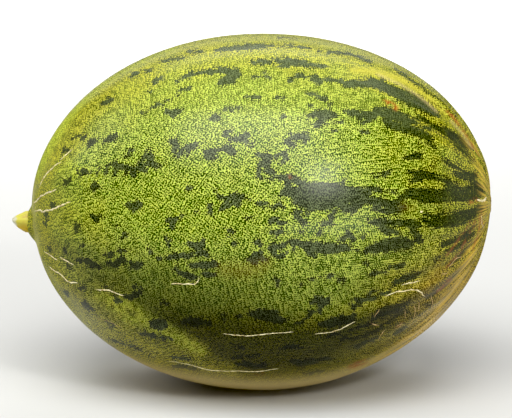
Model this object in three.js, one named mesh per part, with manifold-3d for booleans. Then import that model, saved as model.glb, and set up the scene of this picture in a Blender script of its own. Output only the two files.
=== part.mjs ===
// A piel de sapo (toad-skin) melon lying on its side, with the stub of its stem.
// Millimetres. +X runs from the stem to the blossom end, +Z is up, and the viewer stands on the -Y side.
// The origin is the centre of the object's box, on the surface that the fruit rests on.
import * as THREE from "three";
import { mergeVertices } from "three/addons/utils/BufferGeometryUtils.js";
import Module from "manifold-3d";

// The fruit, about its middle: the centre of its widest section.
const STEM_HALF = 115;
const BLOSSOM_HALF = 113.7;
const GIRTH_RADIUS = 89;
const BELLY_DROP = 2.6; // the belly hangs this much further from the middle, and the back rises this much less
const STEM_ROUNDNESS = 2.02; // 2 is an ellipse, and more is fuller
const BLOSSOM_ROUNDNESS = 1.98;
const BLOSSOM_FULLER_BACK = 0.11;
const REST_DEPTH = 1.5; // what the small flat spot takes off the belly
const MIDDLE_HEIGHT = GIRTH_RADIUS + BELLY_DROP - REST_DEPTH;

// The growth axis, from the stem to the blossom scar. It is tilted and a little bowed.
const AXIS_TILT = 0.039;
const AXIS_BOW = -0.029;

// Relief of the skin
const FURROWS = 24; // fine lengthwise furrows that gather at the blossom end
const FURROW_DEPTH = 0.6;
const FURROWS_FROM = 20;
const FURROWS_FULL = 85;
const RIBS = 10; // broad faint ribs over the whole length
const RIB_DEPTH = 0.35;
const KNUCKLE = { along: 34, spread: 15, rise: 1.0 }; // a blunt bump low on the blossom side
const FOLD = { from: 48, full: 70, angle: 80, turn: 62, width: 5, rise: 1.1 }; // a fold high on the blossom side

// The low mound that carries the stem, and the scar at the blossom end
const STEM_DROP = 7.9; // below the middle
const MOUND_BASE_RADIUS = 9.6;
const MOUND_TOP_RADIUS = 5.7;
const MOUND_TOP = STEM_HALF + 2.4;
const MOUND_ROOT = 4;
const SCAR_RADIUS = 3.4;
const SCAR_BEAD = 0.75;
const SCAR_RISE = 1.3;

// The stub: a short fleshy peduncle, torn off to a blunt tip
const STUB_GAP = 0.3;
const STUB_LENGTH = 7.2;
const STUB_RADII = [5.2, 5.1, 4.6, 4.0, 3.5, 2.9, 2.1, 0.9];
const STUB_LIFT = 0.9;
const STUB_RIDGES = 5;
const STUB_RIDGE_DEPTH = 0.07; // as a share of the radius
const STUB_SIDES = 30;

// Cork cracks stand proud of the skin, thicker than life
const CORK_RADIUS = 1.1;
const CORK_SINK = 0.4;
const CORK_END_SINK = 1.2;
const CORK_SIDES = 6;
const CORK_STEP = 4.2;
const CORKS_BEHIND = 9;
const SEED = 41;

// Facets
const AROUND = 96;
const ALONG = 40;

// The viewer's eye. A crack's points are given as it sees them: across and up from the fruit's
// middle, on the plane through the middle that faces the eye.
const EYE_DISTANCE = 1500;
const EYE_ELEVATION = THREE.MathUtils.degToRad(12);

const CORK_CRACKS = [
  [[-111.8, 9.2], [-108.3, 16.2], [-103.8, 20.2], [-100.3, 22.2]],
  [[-100.5, 23.2], [-97.3, 26], [-94.3, 29]],
  [[-113.6, 1.8], [-111.8, 4.7], [-108.3, 7], [-103.2, 8.5]],
  [[-113.6, -2.8], [-109.2, -3.2], [-106.6, -1.9], [-101.5, -0.5], [-96.3, 2.2]],
  [[-109.3, -22.3], [-106, -24.5], [-102.6, -27.2]],
  [[-101.8, -25.7], [-98.6, -27.2], [-94.9, -29.5]],
  [[-106.2, -29.7], [-101.5, -33.5], [-96.3, -38], [-92.3, -38.3]],
  [[-83.8, -41.5], [-79.6, -42.4], [-74.5, -43.2], [-69.3, -44.6]],
  [[-45.9, -39], [-38.8, -39], [-33.3, -39.3], [-31.9, -35.5]],
  [[-83.5, -55.3], [-78.4, -56.8], [-73.8, -58.8], [-69.8, -60.5]],
  [[-47.9, -77.4], [-38.2, -78.9], [-25, -82], [-5.8, -82.6], [8, -81.4]],
  [[-19.9, -63.2], [-14, -63.9], [-6.4, -64.4], [5.6, -63.1], [15.6, -62.6]],
  [[25.1, -63.8], [32.7, -63], [38.7, -61.1], [46.2, -57.3]],
  [[58.4, -50.9], [55.6, -55.2], [54.3, -58.8]],
  [[54.6, -58.9], [61.7, -58], [65.8, -55.2], [70.4, -52.1]],
  [[61.9, -45.2], [67.3, -42.7], [75.5, -41.9], [78.5, -43.2], [81, -45.2]],
  [[69.8, -39.4], [74.2, -38.3], [79, -37.3]],
  [[61.2, -61.3], [59.1, -64.4], [58.4, -67.4]],
  [[75.7, -49], [76.2, -52.1], [74.6, -57.7]],
  [[78.3, -47.5], [78, -50.6], [77.5, -52.6]],
  [[84.9, -44], [84.6, -47], [84.1, -50.6]],
  [[92.8, -30.7], [96.9, -26.6], [99.9, -25]],
  [[107.2, 2.6], [110.8, 2.2], [112.2, 4.6]],
  [[108.8, -4.2], [109.4, -6.8], [110.6, -10.8]],
];

const wasm = await Module();
wasm.setup();

function solidOf(geometry) {
  const bare = geometry.clone();
  bare.deleteAttribute("normal");
  bare.deleteAttribute("uv");
  const merged = mergeVertices(bare, 1e-4);
  return new wasm.Manifold(
    new wasm.Mesh({
      numProp: 3,
      vertProperties: merged.attributes.position.array,
      triVerts: new Uint32Array(merged.index.array),
    }),
  );
}

function geometryOf(solid) {
  const mesh = solid.getMesh();
  const geometry = new THREE.BufferGeometry();
  geometry.setAttribute("position", new THREE.BufferAttribute(mesh.vertProperties, 3));
  geometry.setIndex(new THREE.BufferAttribute(mesh.triVerts, 1));
  geometry.computeVertexNormals();
  return geometry;
}

// Moves every vertex of a geometry by a function that returns where it goes.
function mapVertices(geometry, place) {
  const position = geometry.attributes.position;
  const point = new THREE.Vector3();
  for (let i = 0; i < position.count; i++) {
    const moved = place(point.fromBufferAttribute(position, i));
    position.setXYZ(i, moved.x, moved.y, moved.z);
  }
  return geometry;
}

function random(seed) {
  let state = seed;
  return () => {
    state = (state * 1664525 + 1013904223) % 4294967296;
    return state / 4294967296;
  };
}

// 1 on the plain skin, less inside it and more outside. It grows evenly with distance from the middle.
function level(p) {
  const off = Math.hypot(p.y, p.z);
  const rise = off > 0 ? p.z / off : 0;
  const stemSide = p.x < 0;
  const reach = stemSide ? STEM_HALF : BLOSSOM_HALF;
  const roundness = stemSide ? STEM_ROUNDNESS : BLOSSOM_ROUNDNESS + BLOSSOM_FULLER_BACK * rise;
  const girth = GIRTH_RADIUS - BELLY_DROP * rise;
  const sum = Math.pow(Math.abs(p.x) / reach, roundness) + Math.pow(off / girth, roundness);
  return Math.pow(sum, 1 / roundness);
}

function axisHeight(x) {
  const share = x / STEM_HALF;
  return STEM_HALF * (AXIS_TILT * share + AXIS_BOW * share * share);
}

// The fold runs along the upper front of the blossom half and sinks forward as it nears the scar.
function foldRise(x, angleFromFront, off) {
  const fadeIn = THREE.MathUtils.smoothstep(x, FOLD.from, FOLD.full);
  const turned = THREE.MathUtils.smoothstep(x, FOLD.full, BLOSSOM_HALF);
  const crest = THREE.MathUtils.degToRad(THREE.MathUtils.lerp(FOLD.angle, FOLD.turn, turned));
  const away = ((angleFromFront - crest) * off) / FOLD.width;
  return FOLD.rise * fadeIn * Math.min(1, off / 30) * Math.exp(-away * away);
}

// How far the skin stands out from its plain form at a point of it.
function relief(p) {
  const above = p.z - axisHeight(p.x);
  const off = Math.hypot(p.y, above);
  const angle = Math.atan2(above, p.y);
  const narrowing = Math.min(1, off / 30);
  const gathered = THREE.MathUtils.smoothstep(p.x, FURROWS_FROM, FURROWS_FULL) * narrowing;
  const uneven = 0.65 + 0.35 * Math.sin(3 * angle + 0.8) * Math.cos(5 * angle + 2.1);
  const furrow = FURROW_DEPTH * gathered * uneven * Math.cos(FURROWS * angle + 1.1 * Math.sin(2 * angle));
  const rib = RIB_DEPTH * narrowing * Math.cos(RIBS * angle + 0.7);
  const fromKnuckle = Math.hypot(p.x - KNUCKLE.along, p.y * 0.5, p.z + GIRTH_RADIUS) / KNUCKLE.spread;
  const knuckle = KNUCKLE.rise * Math.exp(-fromKnuckle * fromKnuckle);
  return furrow + rib + knuckle + foldRise(p.x, Math.atan2(above, -p.y), off);
}

// The skin in a direction from the middle.
function skinTowards(direction) {
  const plain = direction.clone().divideScalar(level(direction));
  return plain.multiplyScalar(1 + relief(plain) / plain.length());
}

// The skin where the eye sees a point that lies across and up from the middle.
function skinSeen([across, up]) {
  const sin = Math.sin(EYE_ELEVATION);
  const cos = Math.cos(EYE_ELEVATION);
  const outside = new THREE.Vector3(0, -EYE_DISTANCE * cos, EYE_DISTANCE * sin);
  const inside = new THREE.Vector3(across, up * sin, up * cos);
  for (let i = 0; i < 40; i++) {
    const half = outside.clone().lerp(inside, 0.5);
    if (level(half) > 1) outside.copy(half);
    else inside.copy(half);
  }
  return skinTowards(inside);
}

// A thin ridge of cork along a route on the skin. Both its ends dive under.
function corkRidge(route, behind) {
  const points = route.map(skinSeen);
  if (behind) points.forEach((p) => (p.y = -p.y));
  const onSkin = new THREE.CatmullRomCurve3(points);
  const steps = Math.max(3, Math.round(onSkin.getLength() / CORK_STEP));
  const sunk = onSkin.getSpacedPoints(steps).map((p, i) => {
    const end = Math.pow(Math.abs((2 * i) / steps - 1), 4);
    const skin = skinTowards(p);
    return skin.multiplyScalar(1 - (CORK_SINK + CORK_END_SINK * end) / skin.length());
  });
  const section = new THREE.Shape();
  section.absarc(0, 0, CORK_RADIUS, 0, 2 * Math.PI, false);
  return new THREE.ExtrudeGeometry(section, {
    curveSegments: CORK_SIDES / 2,
    steps,
    extrudePath: new THREE.CatmullRomCurve3(sunk),
    bevelEnabled: false,
  });
}

// Cracks on the far side: a fan near the stem and a few more along the lower flank.
function cracksBehind() {
  const draw = random(SEED);
  const routes = [];
  for (let i = 0; i < CORKS_BEHIND; i++) {
    const nearStem = i % 3 !== 2;
    const angle = THREE.MathUtils.degToRad(nearStem ? 62 - 22 * i : -50 - 6 * i);
    const start = nearStem ? -106 + 4 * draw() : -60 + 25 * i * (0.5 + draw() * 0.2);
    const length = 10 + 14 * draw();
    const lean = nearStem ? angle * 0.55 : 0.1 * (draw() - 0.5);
    const height = nearStem ? -STEM_DROP + 26 * Math.sin(angle) : -48 - 14 * draw();
    routes.push(
      [0, 0.35, 0.7, 1].map((t) => [
        start + length * t * Math.cos(lean),
        height + length * t * Math.sin(lean) + 1.2 * (draw() - 0.5),
      ]),
    );
  }
  return routes;
}

function plainFruit() {
  const ball = new THREE.SphereGeometry(1, AROUND, ALONG).rotateZ(Math.PI / 2);
  return mapVertices(ball, (q) => {
    const sunk = q.z + AXIS_TILT * q.x + AXIS_BOW * q.x * q.x;
    return skinTowards(new THREE.Vector3(q.x, q.y, sunk));
  });
}

function mound() {
  const root = STEM_HALF - MOUND_ROOT;
  const profile = [
    new THREE.Vector2(0, root),
    new THREE.Vector2(MOUND_BASE_RADIUS + 0.6, root),
    new THREE.Vector2(MOUND_BASE_RADIUS, STEM_HALF - 1),
    new THREE.Vector2(0.8 * MOUND_BASE_RADIUS, STEM_HALF + 0.9),
    new THREE.Vector2(MOUND_TOP_RADIUS, MOUND_TOP),
    new THREE.Vector2(0, MOUND_TOP),
  ];
  return new THREE.LatheGeometry(profile, 32).rotateZ(Math.PI / 2).translate(0, 0, -STEM_DROP);
}

function blossomScar() {
  const pole = skinTowards(new THREE.Vector3(1, 0, AXIS_TILT + AXIS_BOW));
  const ring = new THREE.Shape();
  ring.absarc(0, 0, SCAR_RADIUS + SCAR_BEAD, 0, 2 * Math.PI, false);
  const disc = new THREE.ExtrudeGeometry(ring, {
    depth: SCAR_RISE,
    curveSegments: 12,
    bevelThickness: SCAR_BEAD,
    bevelSize: SCAR_BEAD,
    bevelSegments: 2,
  });
  return disc.rotateY(Math.PI / 2).translate(pole.x - SCAR_RISE - 0.25, 0, pole.z);
}

function underTheSurface() {
  const slab = new THREE.BoxGeometry(4 * STEM_HALF, 4 * STEM_HALF, GIRTH_RADIUS);
  return slab.translate(0, 0, -MIDDLE_HEIGHT - GIRTH_RADIUS / 2);
}

function fruitGeometry() {
  const ridges = [
    ...CORK_CRACKS.map((route) => corkRidge(route, false)),
    ...cracksBehind().map((route) => corkRidge(route, true)),
  ];
  const joined = [plainFruit(), mound(), blossomScar(), ...ridges]
    .map(solidOf)
    .reduce((whole, piece) => whole.add(piece));
  return geometryOf(joined.subtract(solidOf(underTheSurface())));
}

function stubGeometry() {
  const last = STUB_RADII.length - 1;
  const profile = STUB_RADII.map((radius, i) => new THREE.Vector2(radius, (STUB_LENGTH * i) / last));
  profile.unshift(new THREE.Vector2(0, 0));
  profile.push(new THREE.Vector2(0, STUB_LENGTH));
  const lathe = new THREE.LatheGeometry(profile, STUB_SIDES);
  return mapVertices(lathe, (p) => {
    const share = p.y / STUB_LENGTH;
    const angle = Math.atan2(p.z, p.x);
    const ridged = 1 + STUB_RIDGE_DEPTH * Math.cos(STUB_RIDGES * angle);
    return new THREE.Vector3(
      -MOUND_TOP - STUB_GAP - p.y,
      ridged * p.x,
      ridged * p.z - STEM_DROP + STUB_LIFT * share * share,
    );
  });
}

function skinMaterial() {
  return new THREE.MeshStandardMaterial({ color: 0x7f8f36, roughness: 0.42, metalness: 0 });
}

function stubMaterial() {
  return new THREE.MeshStandardMaterial({ color: 0xd2bd45, roughness: 0.6, metalness: 0 });
}

function named(name, geometry, material) {
  const mesh = new THREE.Mesh(geometry, material);
  mesh.name = name;
  return mesh;
}

const melon = new THREE.Group();
melon.add(named("fruit", fruitGeometry(), skinMaterial()));
melon.add(named("stem_stub", stubGeometry(), stubMaterial()));
const box = new THREE.Box3().setFromObject(melon);
melon.position.set(-(box.min.x + box.max.x) / 2, -(box.min.y + box.max.y) / 2, MIDDLE_HEIGHT);

export default melon;
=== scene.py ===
"""The looks of a toad-skin melon that lies on its side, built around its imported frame.

Shapes are worked out in millimetres about the fruit's middle, which is the centre of its widest
section, with +X from the stem to the blossom end and +Z up. A finished mesh is in metres, in the
part's own frame. Marks that the photograph shows are placed by its pixels and thrown onto the skin.
"""

import logging
import math
from dataclasses import dataclass, field
from functools import partial
from typing import Callable

import bmesh
import bpy
import numpy as np
from mathutils import Matrix, Vector


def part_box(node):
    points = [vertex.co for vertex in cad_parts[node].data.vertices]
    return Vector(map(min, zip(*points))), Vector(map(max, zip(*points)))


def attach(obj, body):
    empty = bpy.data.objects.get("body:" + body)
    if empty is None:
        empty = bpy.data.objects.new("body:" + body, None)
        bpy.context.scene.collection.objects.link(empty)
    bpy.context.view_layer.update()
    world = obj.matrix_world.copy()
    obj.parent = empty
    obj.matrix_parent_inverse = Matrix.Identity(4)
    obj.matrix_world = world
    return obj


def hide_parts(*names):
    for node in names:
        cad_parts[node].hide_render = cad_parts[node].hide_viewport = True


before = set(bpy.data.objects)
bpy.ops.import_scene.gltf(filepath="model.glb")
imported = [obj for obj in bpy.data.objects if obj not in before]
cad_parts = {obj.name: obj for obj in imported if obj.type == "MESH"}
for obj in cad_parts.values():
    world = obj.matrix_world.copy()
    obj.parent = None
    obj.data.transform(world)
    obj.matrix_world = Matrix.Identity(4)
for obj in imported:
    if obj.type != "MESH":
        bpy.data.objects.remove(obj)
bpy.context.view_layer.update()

log = logging.getLogger("melon")

MM = 0.001  # one millimetre in Blender's metres
BODY = "root"

Array = np.ndarray
Spot = tuple[float, float]  # a pixel of the photograph, across and down
Dab = tuple[float, float, float]  # a pixel across and down, and a half width in pixels
Stroke = tuple[Dab, ...]  # dabs joined into one mark
Span = tuple[float, float]  # where something is wholly absent, and where it is full
Socket = bpy.types.NodeSocket
Adder = Callable[..., Socket]

COLOUR_MIX = {"out": 2, "data_type": "RGBA"}  # a mix node set to colours, and its colour output
SOFT = {"interpolation_type": "SMOOTHSTEP"}


def smoothstep(values: Array, low: float, high: float) -> Array:
    """Eases from 0 at low to 1 at high.

    Args:
        values: What to ease.
        low: Where the result is 0. It may be the larger of the two.
        high: Where the result is 1.

    Returns:
        The eased values.
    """
    share = np.clip((values - low) / (high - low), 0.0, 1.0)
    return share * share * (3.0 - 2.0 * share)


def linear(hex_colour: str) -> tuple[float, float, float, float]:
    """Turns an sRGB hex colour such as "#8A9A30" into linear RGBA."""
    channels = (int(hex_colour[i : i + 2], 16) / 255.0 for i in (1, 3, 5))
    red, green, blue = (c / 12.92 if c <= 0.04045 else ((c + 0.055) / 1.055) ** 2.4 for c in channels)
    return (red, green, blue, 1.0)


@dataclass(frozen=True)
class FruitForm:
    """The fruit's shape by formula, the same as its CAD node's, with the finer relief of the skin."""

    stem_half: float = 115.0
    blossom_half: float = 113.7
    girth_radius: float = 89.0
    belly_drop: float = 2.6
    stem_roundness: float = 2.02
    blossom_roundness: float = 1.98
    blossom_fuller_back: float = 0.11
    rest_depth: float = 1.5
    axis_tilt: float = 0.039
    axis_bow: float = -0.029
    furrows: int = 24
    furrow_depth: float = 0.6
    furrows_from: float = 20.0
    furrows_full: float = 85.0
    ribs: int = 10
    rib_depth: float = 0.35
    knuckle_along: float = 34.0
    knuckle_spread: float = 15.0
    knuckle_rise: float = 1.0
    fold_from: float = 48.0
    fold_full: float = 70.0
    fold_angle: float = 80.0
    fold_turn: float = 62.0
    fold_width: float = 5.0
    fold_rise: float = 1.1
    stem_drop: float = 7.9
    mound_top: float = 117.4
    mound_softness: float = 0.7
    calm_radius: float = 30.0  # the relief fades out this near to the growth axis
    scar_ring_rise: float = 0.75
    scar_ring_radius: float = 3.7
    scar_ring_width: float = 0.9
    scar_dimple_depth: float = 0.5
    scar_dimple_radius: float = 2.2
    dent_depth: float = 0.07
    swell_rise: float = 0.22
    wrinkle_rise: float = 0.16

    @property
    def middle_height(self) -> float:
        """How high the middle lies over the surface that the fruit rests on."""
        return self.girth_radius + self.belly_drop - self.rest_depth

    def level(self, points: Array) -> Array:
        """Says how far out points lie: 1 on the plain skin, growing evenly from the middle."""
        off = np.hypot(points[:, 1], points[:, 2])
        rise = points[:, 2] / np.maximum(off, 1e-9)
        stem_side = points[:, 0] < 0.0
        reach = np.where(stem_side, self.stem_half, self.blossom_half)
        fuller = self.blossom_roundness + self.blossom_fuller_back * rise
        roundness = np.where(stem_side, self.stem_roundness, fuller)
        girth = self.girth_radius - self.belly_drop * rise
        total = (np.abs(points[:, 0]) / reach) ** roundness + (off / girth) ** roundness
        return total ** (1.0 / roundness)

    def axis_height(self, along: Array) -> Array:
        """Gives the height of the growth axis, from the stem to the blossom scar."""
        share = along / self.stem_half
        return self.stem_half * (self.axis_tilt * share + self.axis_bow * share * share)

    def round_axis(self, points: Array) -> tuple[Array, Array, Array]:
        """Measures points about the growth axis.

        Args:
            points: Points in millimetres about the middle.

        Returns:
            Their distance off the axis, and their angle from the back and from the front.
        """
        above = points[:, 2] - self.axis_height(points[:, 0])
        off = np.hypot(points[:, 1], above)
        return off, np.arctan2(above, points[:, 1]), np.arctan2(above, -points[:, 1])

    def fold(self, along: Array, from_front: Array, off: Array) -> Array:
        """Gives the rise of the fold that runs along the upper front of the blossom half."""
        fade_in = smoothstep(along, self.fold_from, self.fold_full)
        turned = smoothstep(along, self.fold_full, self.blossom_half)
        crest = np.radians(self.fold_angle + (self.fold_turn - self.fold_angle) * turned)
        away = (from_front - crest) * off / self.fold_width
        narrowing = np.minimum(1.0, off / self.calm_radius)
        return self.fold_rise * fade_in * narrowing * np.exp(-away * away)

    def relief(self, points: Array) -> Array:
        """Gives how far the skin stands out from its plain form at points of it."""
        along = points[:, 0]
        off, angle, from_front = self.round_axis(points)
        narrowing = np.minimum(1.0, off / self.calm_radius)
        gathered = smoothstep(along, self.furrows_from, self.furrows_full) * narrowing
        uneven = 0.65 + 0.35 * np.sin(3 * angle + 0.8) * np.cos(5 * angle + 2.1)
        waves = np.cos(self.furrows * angle + 1.1 * np.sin(2 * angle))
        furrow = self.furrow_depth * gathered * uneven * waves
        rib = self.rib_depth * narrowing * np.cos(self.ribs * angle + 0.7)
        below = points[:, 2] + self.girth_radius
        from_knuckle = np.sqrt((along - self.knuckle_along) ** 2 + (0.5 * points[:, 1]) ** 2 + below**2)
        knuckle = self.knuckle_rise * np.exp(-((from_knuckle / self.knuckle_spread) ** 2))
        return furrow + rib + knuckle + self.fold(along, from_front, off)

    def fine_relief(self, points: Array) -> Array:
        """Gives the small unevenness that the CAD solid leaves out: soft dents and fine wrinkles."""
        along, across, up = points.T
        _, angle, _ = self.round_axis(points)
        dents = np.sin(along / 13.0 + 1.7 * np.sin(up / 21.0)) * np.sin(up / 11.0 + across / 17.0)
        swells = np.sin(along / 27.0 + up / 19.0 + 0.6) * np.cos(across / 23.0 - up / 31.0)
        near_blossom = smoothstep(along, 40.0, 100.0)
        wrinkles = np.sin(53 * angle + 2.2 * np.sin(along / 9.0)) * np.sin(19 * angle + along / 14.0)
        rise = self.dent_depth * dents + self.swell_rise * swells
        return rise + self.wrinkle_rise * near_blossom * wrinkles

    def towards(self, directions: Array, fine: bool = False) -> Array:
        """Finds the skin in directions from the middle.

        Args:
            directions: Directions of any length.
            fine: Whether the fine relief is added.

        Returns:
            Points on the skin.
        """
        plain = directions / self.level(directions)[:, None]
        rise = self.relief(plain)
        if fine:
            rise = rise + self.fine_relief(plain)
        return plain * (1.0 + rise / np.linalg.norm(plain, axis=1))[:, None]

    def mound(self, points: Array) -> Array:
        """Raises the low mound that carries the stem, and returns the moved points."""
        out = np.hypot(points[:, 1], points[:, 2] + self.stem_drop)
        radii = (0.0, 4.9, 6.0, 7.7, 9.4, 11.5, 14.0, 40.0)
        reaches = (0.0, 0.0, -0.5, -1.7, -3.4, -7.0, -14.0, -120.0)
        wanted = self.mound_top + np.interp(out, radii, reaches)
        skin = -points[:, 0]
        softness = self.mound_softness
        raised = softness * np.logaddexp(skin / softness, wanted / softness)
        moved = points.copy()
        near = points[:, 0] < -0.8 * self.stem_half
        moved[near, 0] = -np.minimum(raised, self.mound_top + 0.2)[near]
        return moved

    def blossom_pole(self) -> Array:
        """Gives the point of the skin where the blossom was."""
        return self.towards(np.array([[1.0, 0.0, self.axis_tilt + self.axis_bow]]))[0]

    def scar(self, points: Array) -> Array:
        """Rings and dimples the blossom scar, and returns the moved points."""
        pole = self.blossom_pole()
        out = np.hypot(points[:, 1] - pole[1], points[:, 2] - pole[2])
        from_ring = (out - self.scar_ring_radius) / self.scar_ring_width
        ring = self.scar_ring_rise * np.exp(-(from_ring**2))
        dimple = self.scar_dimple_depth * np.exp(-((out / self.scar_dimple_radius) ** 2))
        moved = points.copy()
        moved[:, 0] += np.where(points[:, 0] > 0.0, ring - dimple, 0.0)
        return moved

    def rest(self, points: Array) -> Array:
        """Flattens the small spot that the fruit rests on, and returns the moved points."""
        moved = points.copy()
        moved[:, 2] = np.maximum(moved[:, 2], -self.middle_height)
        return moved

    def skin(self, ball: Array) -> Array:
        """Moves a unit ball, whose poles lie on X, to the finished skin."""
        sunk = ball.copy()
        sunk[:, 2] += self.axis_tilt * ball[:, 0] + self.axis_bow * ball[:, 0] ** 2
        return self.rest(self.scar(self.mound(self.towards(sunk, fine=True))))


@dataclass(frozen=True)
class PhotoView:
    """The viewpoint of the photograph, and the camera that stands there."""

    width_px: int = 512
    middle_px: Spot = (262.6, 206.4)
    centre_px: Spot = (256.0, 209.0)
    mm_per_px: float = 0.5
    distance: float = 1500.0
    elevation_deg: float = 12.0
    sensor: float = 36.0
    black_point: float = 0.021

    def axes(self) -> tuple[Array, Array, Array]:
        """Gives the view's right, its up and the direction from the middle to the eye."""
        tilt = math.radians(self.elevation_deg)
        sin, cos = math.sin(tilt), math.cos(tilt)
        return np.array([1.0, 0.0, 0.0]), np.array([0.0, sin, cos]), np.array([0.0, -cos, sin])

    def project(self, points: Array) -> Array:
        """Finds the pixels where points about the middle show."""
        right, up, to_eye = self.axes()
        scale = self.distance / (self.distance - points @ to_eye) / self.mm_per_px
        across = self.middle_px[0] + (points @ right) * scale
        down = self.middle_px[1] - (points @ up) * scale
        return np.stack([across, down], axis=1)

    def seen_at(self, spots: Array, form: FruitForm) -> Array:
        """Finds the skin that shows at pixels.

        Args:
            spots: Pixels, across and down.
            form: The fruit's shape.

        Returns:
            Points on the skin, in millimetres about the middle.
        """
        right, up, to_eye = self.axes()
        across = (spots[:, :1] - self.middle_px[0]) * self.mm_per_px
        rise = (self.middle_px[1] - spots[:, 1:]) * self.mm_per_px
        inside = across * right + rise * up
        outside = np.broadcast_to(to_eye * self.distance, inside.shape).copy()
        for _ in range(40):
            half = (inside + outside) / 2.0
            beyond = form.level(half) > 1.0
            outside[beyond] = half[beyond]
            inside[~beyond] = half[~beyond]
        return form.towards(inside, fine=True)

    def facing(self, points: Array, normals: Array) -> Array:
        """Says how squarely the skin faces the eye: 1 straight on, 0 on the rim and less behind."""
        to_eye = self.axes()[2] * self.distance - points
        return np.einsum("ij,ij->i", normals, to_eye) / np.linalg.norm(to_eye, axis=1)

    def develop(self) -> None:
        """Sets the tones: plain ones, with the deep black point that the photograph was given."""
        settings = bpy.context.scene.view_settings
        settings.view_transform = "Standard"
        settings.use_curve_mapping = True
        settings.curve_mapping.black_level = (self.black_point,) * 3
        settings.curve_mapping.update()

    def place_camera(self, middle: Vector) -> None:
        """Makes the scene's camera.

        Args:
            middle: The fruit's middle in the part's frame, in metres.
        """
        data = bpy.data.cameras.new("photo_camera")
        data.sensor_width = self.sensor
        data.lens = self.sensor * self.distance / (self.width_px * self.mm_per_px)
        data.shift_x = (self.centre_px[0] - self.middle_px[0]) / self.width_px
        data.shift_y = (self.middle_px[1] - self.centre_px[1]) / self.width_px
        data.clip_end = 100.0
        camera = bpy.data.objects.new("photo_camera", data)
        to_eye = Vector(self.axes()[2])
        camera.location = middle + to_eye * self.distance * MM
        camera.rotation_euler = to_eye.to_track_quat("Z", "Y").to_euler()
        bpy.context.scene.collection.objects.link(camera)
        bpy.context.scene.camera = camera


# The dark blotches that the photograph shows, region by region. Each is a chain of round dabs.
BLOTCHES_UPPER_STEM: tuple[Stroke, ...] = (
    ((103, 104, 1.5), (107, 101, 2), (112, 98.5, 1.5)),
    ((131, 77, 1.5), (135, 74.5, 2.5), (138, 73, 1.5)),
    ((145, 71.5, 1), (150, 70, 1.3)),
    ((153, 83, 1.5), (157, 80.5, 2.2), (163, 78, 1.3)),
    ((160, 62, 0.7), (170, 60, 1.1), (183, 58, 1.1)),
    ((188, 52, 0.8), (203, 51, 1.0)),
    ((154, 106.5, 1.5), (159, 105, 2.2), (162, 106, 1.2)),
    ((165, 101, 1), (168, 100, 1)),
    ((166, 111, 1.5), (172, 113, 4), (176, 113, 3), (181, 111, 1.2)),
    ((172, 113, 3), (172, 117, 2)),
    ((142, 113, 1.2), (146, 112, 1)),
    ((150, 91, 1.2), (151, 91, 1.2)),
    ((176, 81, 1.2), (177, 82, 1.0)),
    ((177, 93, 1), (184, 89, 1.8), (190, 88, 1.2)),
    (
        (182, 78, 1.2), (190, 74.5, 1.8), (200, 72.5, 1.6), (212, 71, 2), (222, 71, 3.5), (234, 72, 4),
        (238, 75, 3),
    ),
    ((217, 84, 1.5), (225, 80, 4), (232, 80, 3.5), (236, 76, 3)),
    ((82, 138, 2), (86, 137, 1.5)),
    ((89, 145, 2.5), (93, 142, 3), (97, 139.5, 1.5)),
    ((106, 141, 2.5), (110, 138.5, 3.2), (115, 135.5, 2.5), (116, 138, 1.5)),
    ((62, 153, 1.2), (66, 149.5, 1.8)),
    ((72, 139, 0.8), (79, 136, 0.8)),
    ((127, 156, 1.5), (129, 152, 2.5), (133, 150, 1.5)),
    ((80, 173, 2.5), (84, 171, 3), (88, 172, 2)),
    ((97, 173, 1.5), (99, 169, 1.5)),
    ((105, 173, 1.5), (107, 168, 1.5)),
    ((111, 165, 2), (116, 163, 3), (120, 166, 2.5), (125, 168, 3), (128, 166, 2)),
    ((116, 166, 2), (115, 174, 2)),
    ((125, 168, 2.5), (126, 173, 1.5)),
    ((128, 167, 2), (133, 171, 3.5), (141, 168, 3.5), (145, 171, 2)),
    ((133, 171, 2), (134, 177, 1.3)),
    ((149, 151, 2.5), (150, 155, 3.5), (150, 162, 3.3), (156, 166, 2.5), (161, 165, 1.2)),
    ((142, 160, 1.5), (145, 157, 3)),
    ((143, 166, 2), (150, 163, 3)),
    ((171, 141, 2), (175, 140, 2.2), (177, 147, 3), (174, 151, 2.5)),
    ((176, 155, 2), (181, 152, 1.5), (178, 158, 1)),
    ((64, 185, 1.5), (67, 181.5, 2.5), (70, 180, 1.5)),
    ((93, 188, 2.5), (95, 185, 3), (98, 186, 2)),
)
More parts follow.
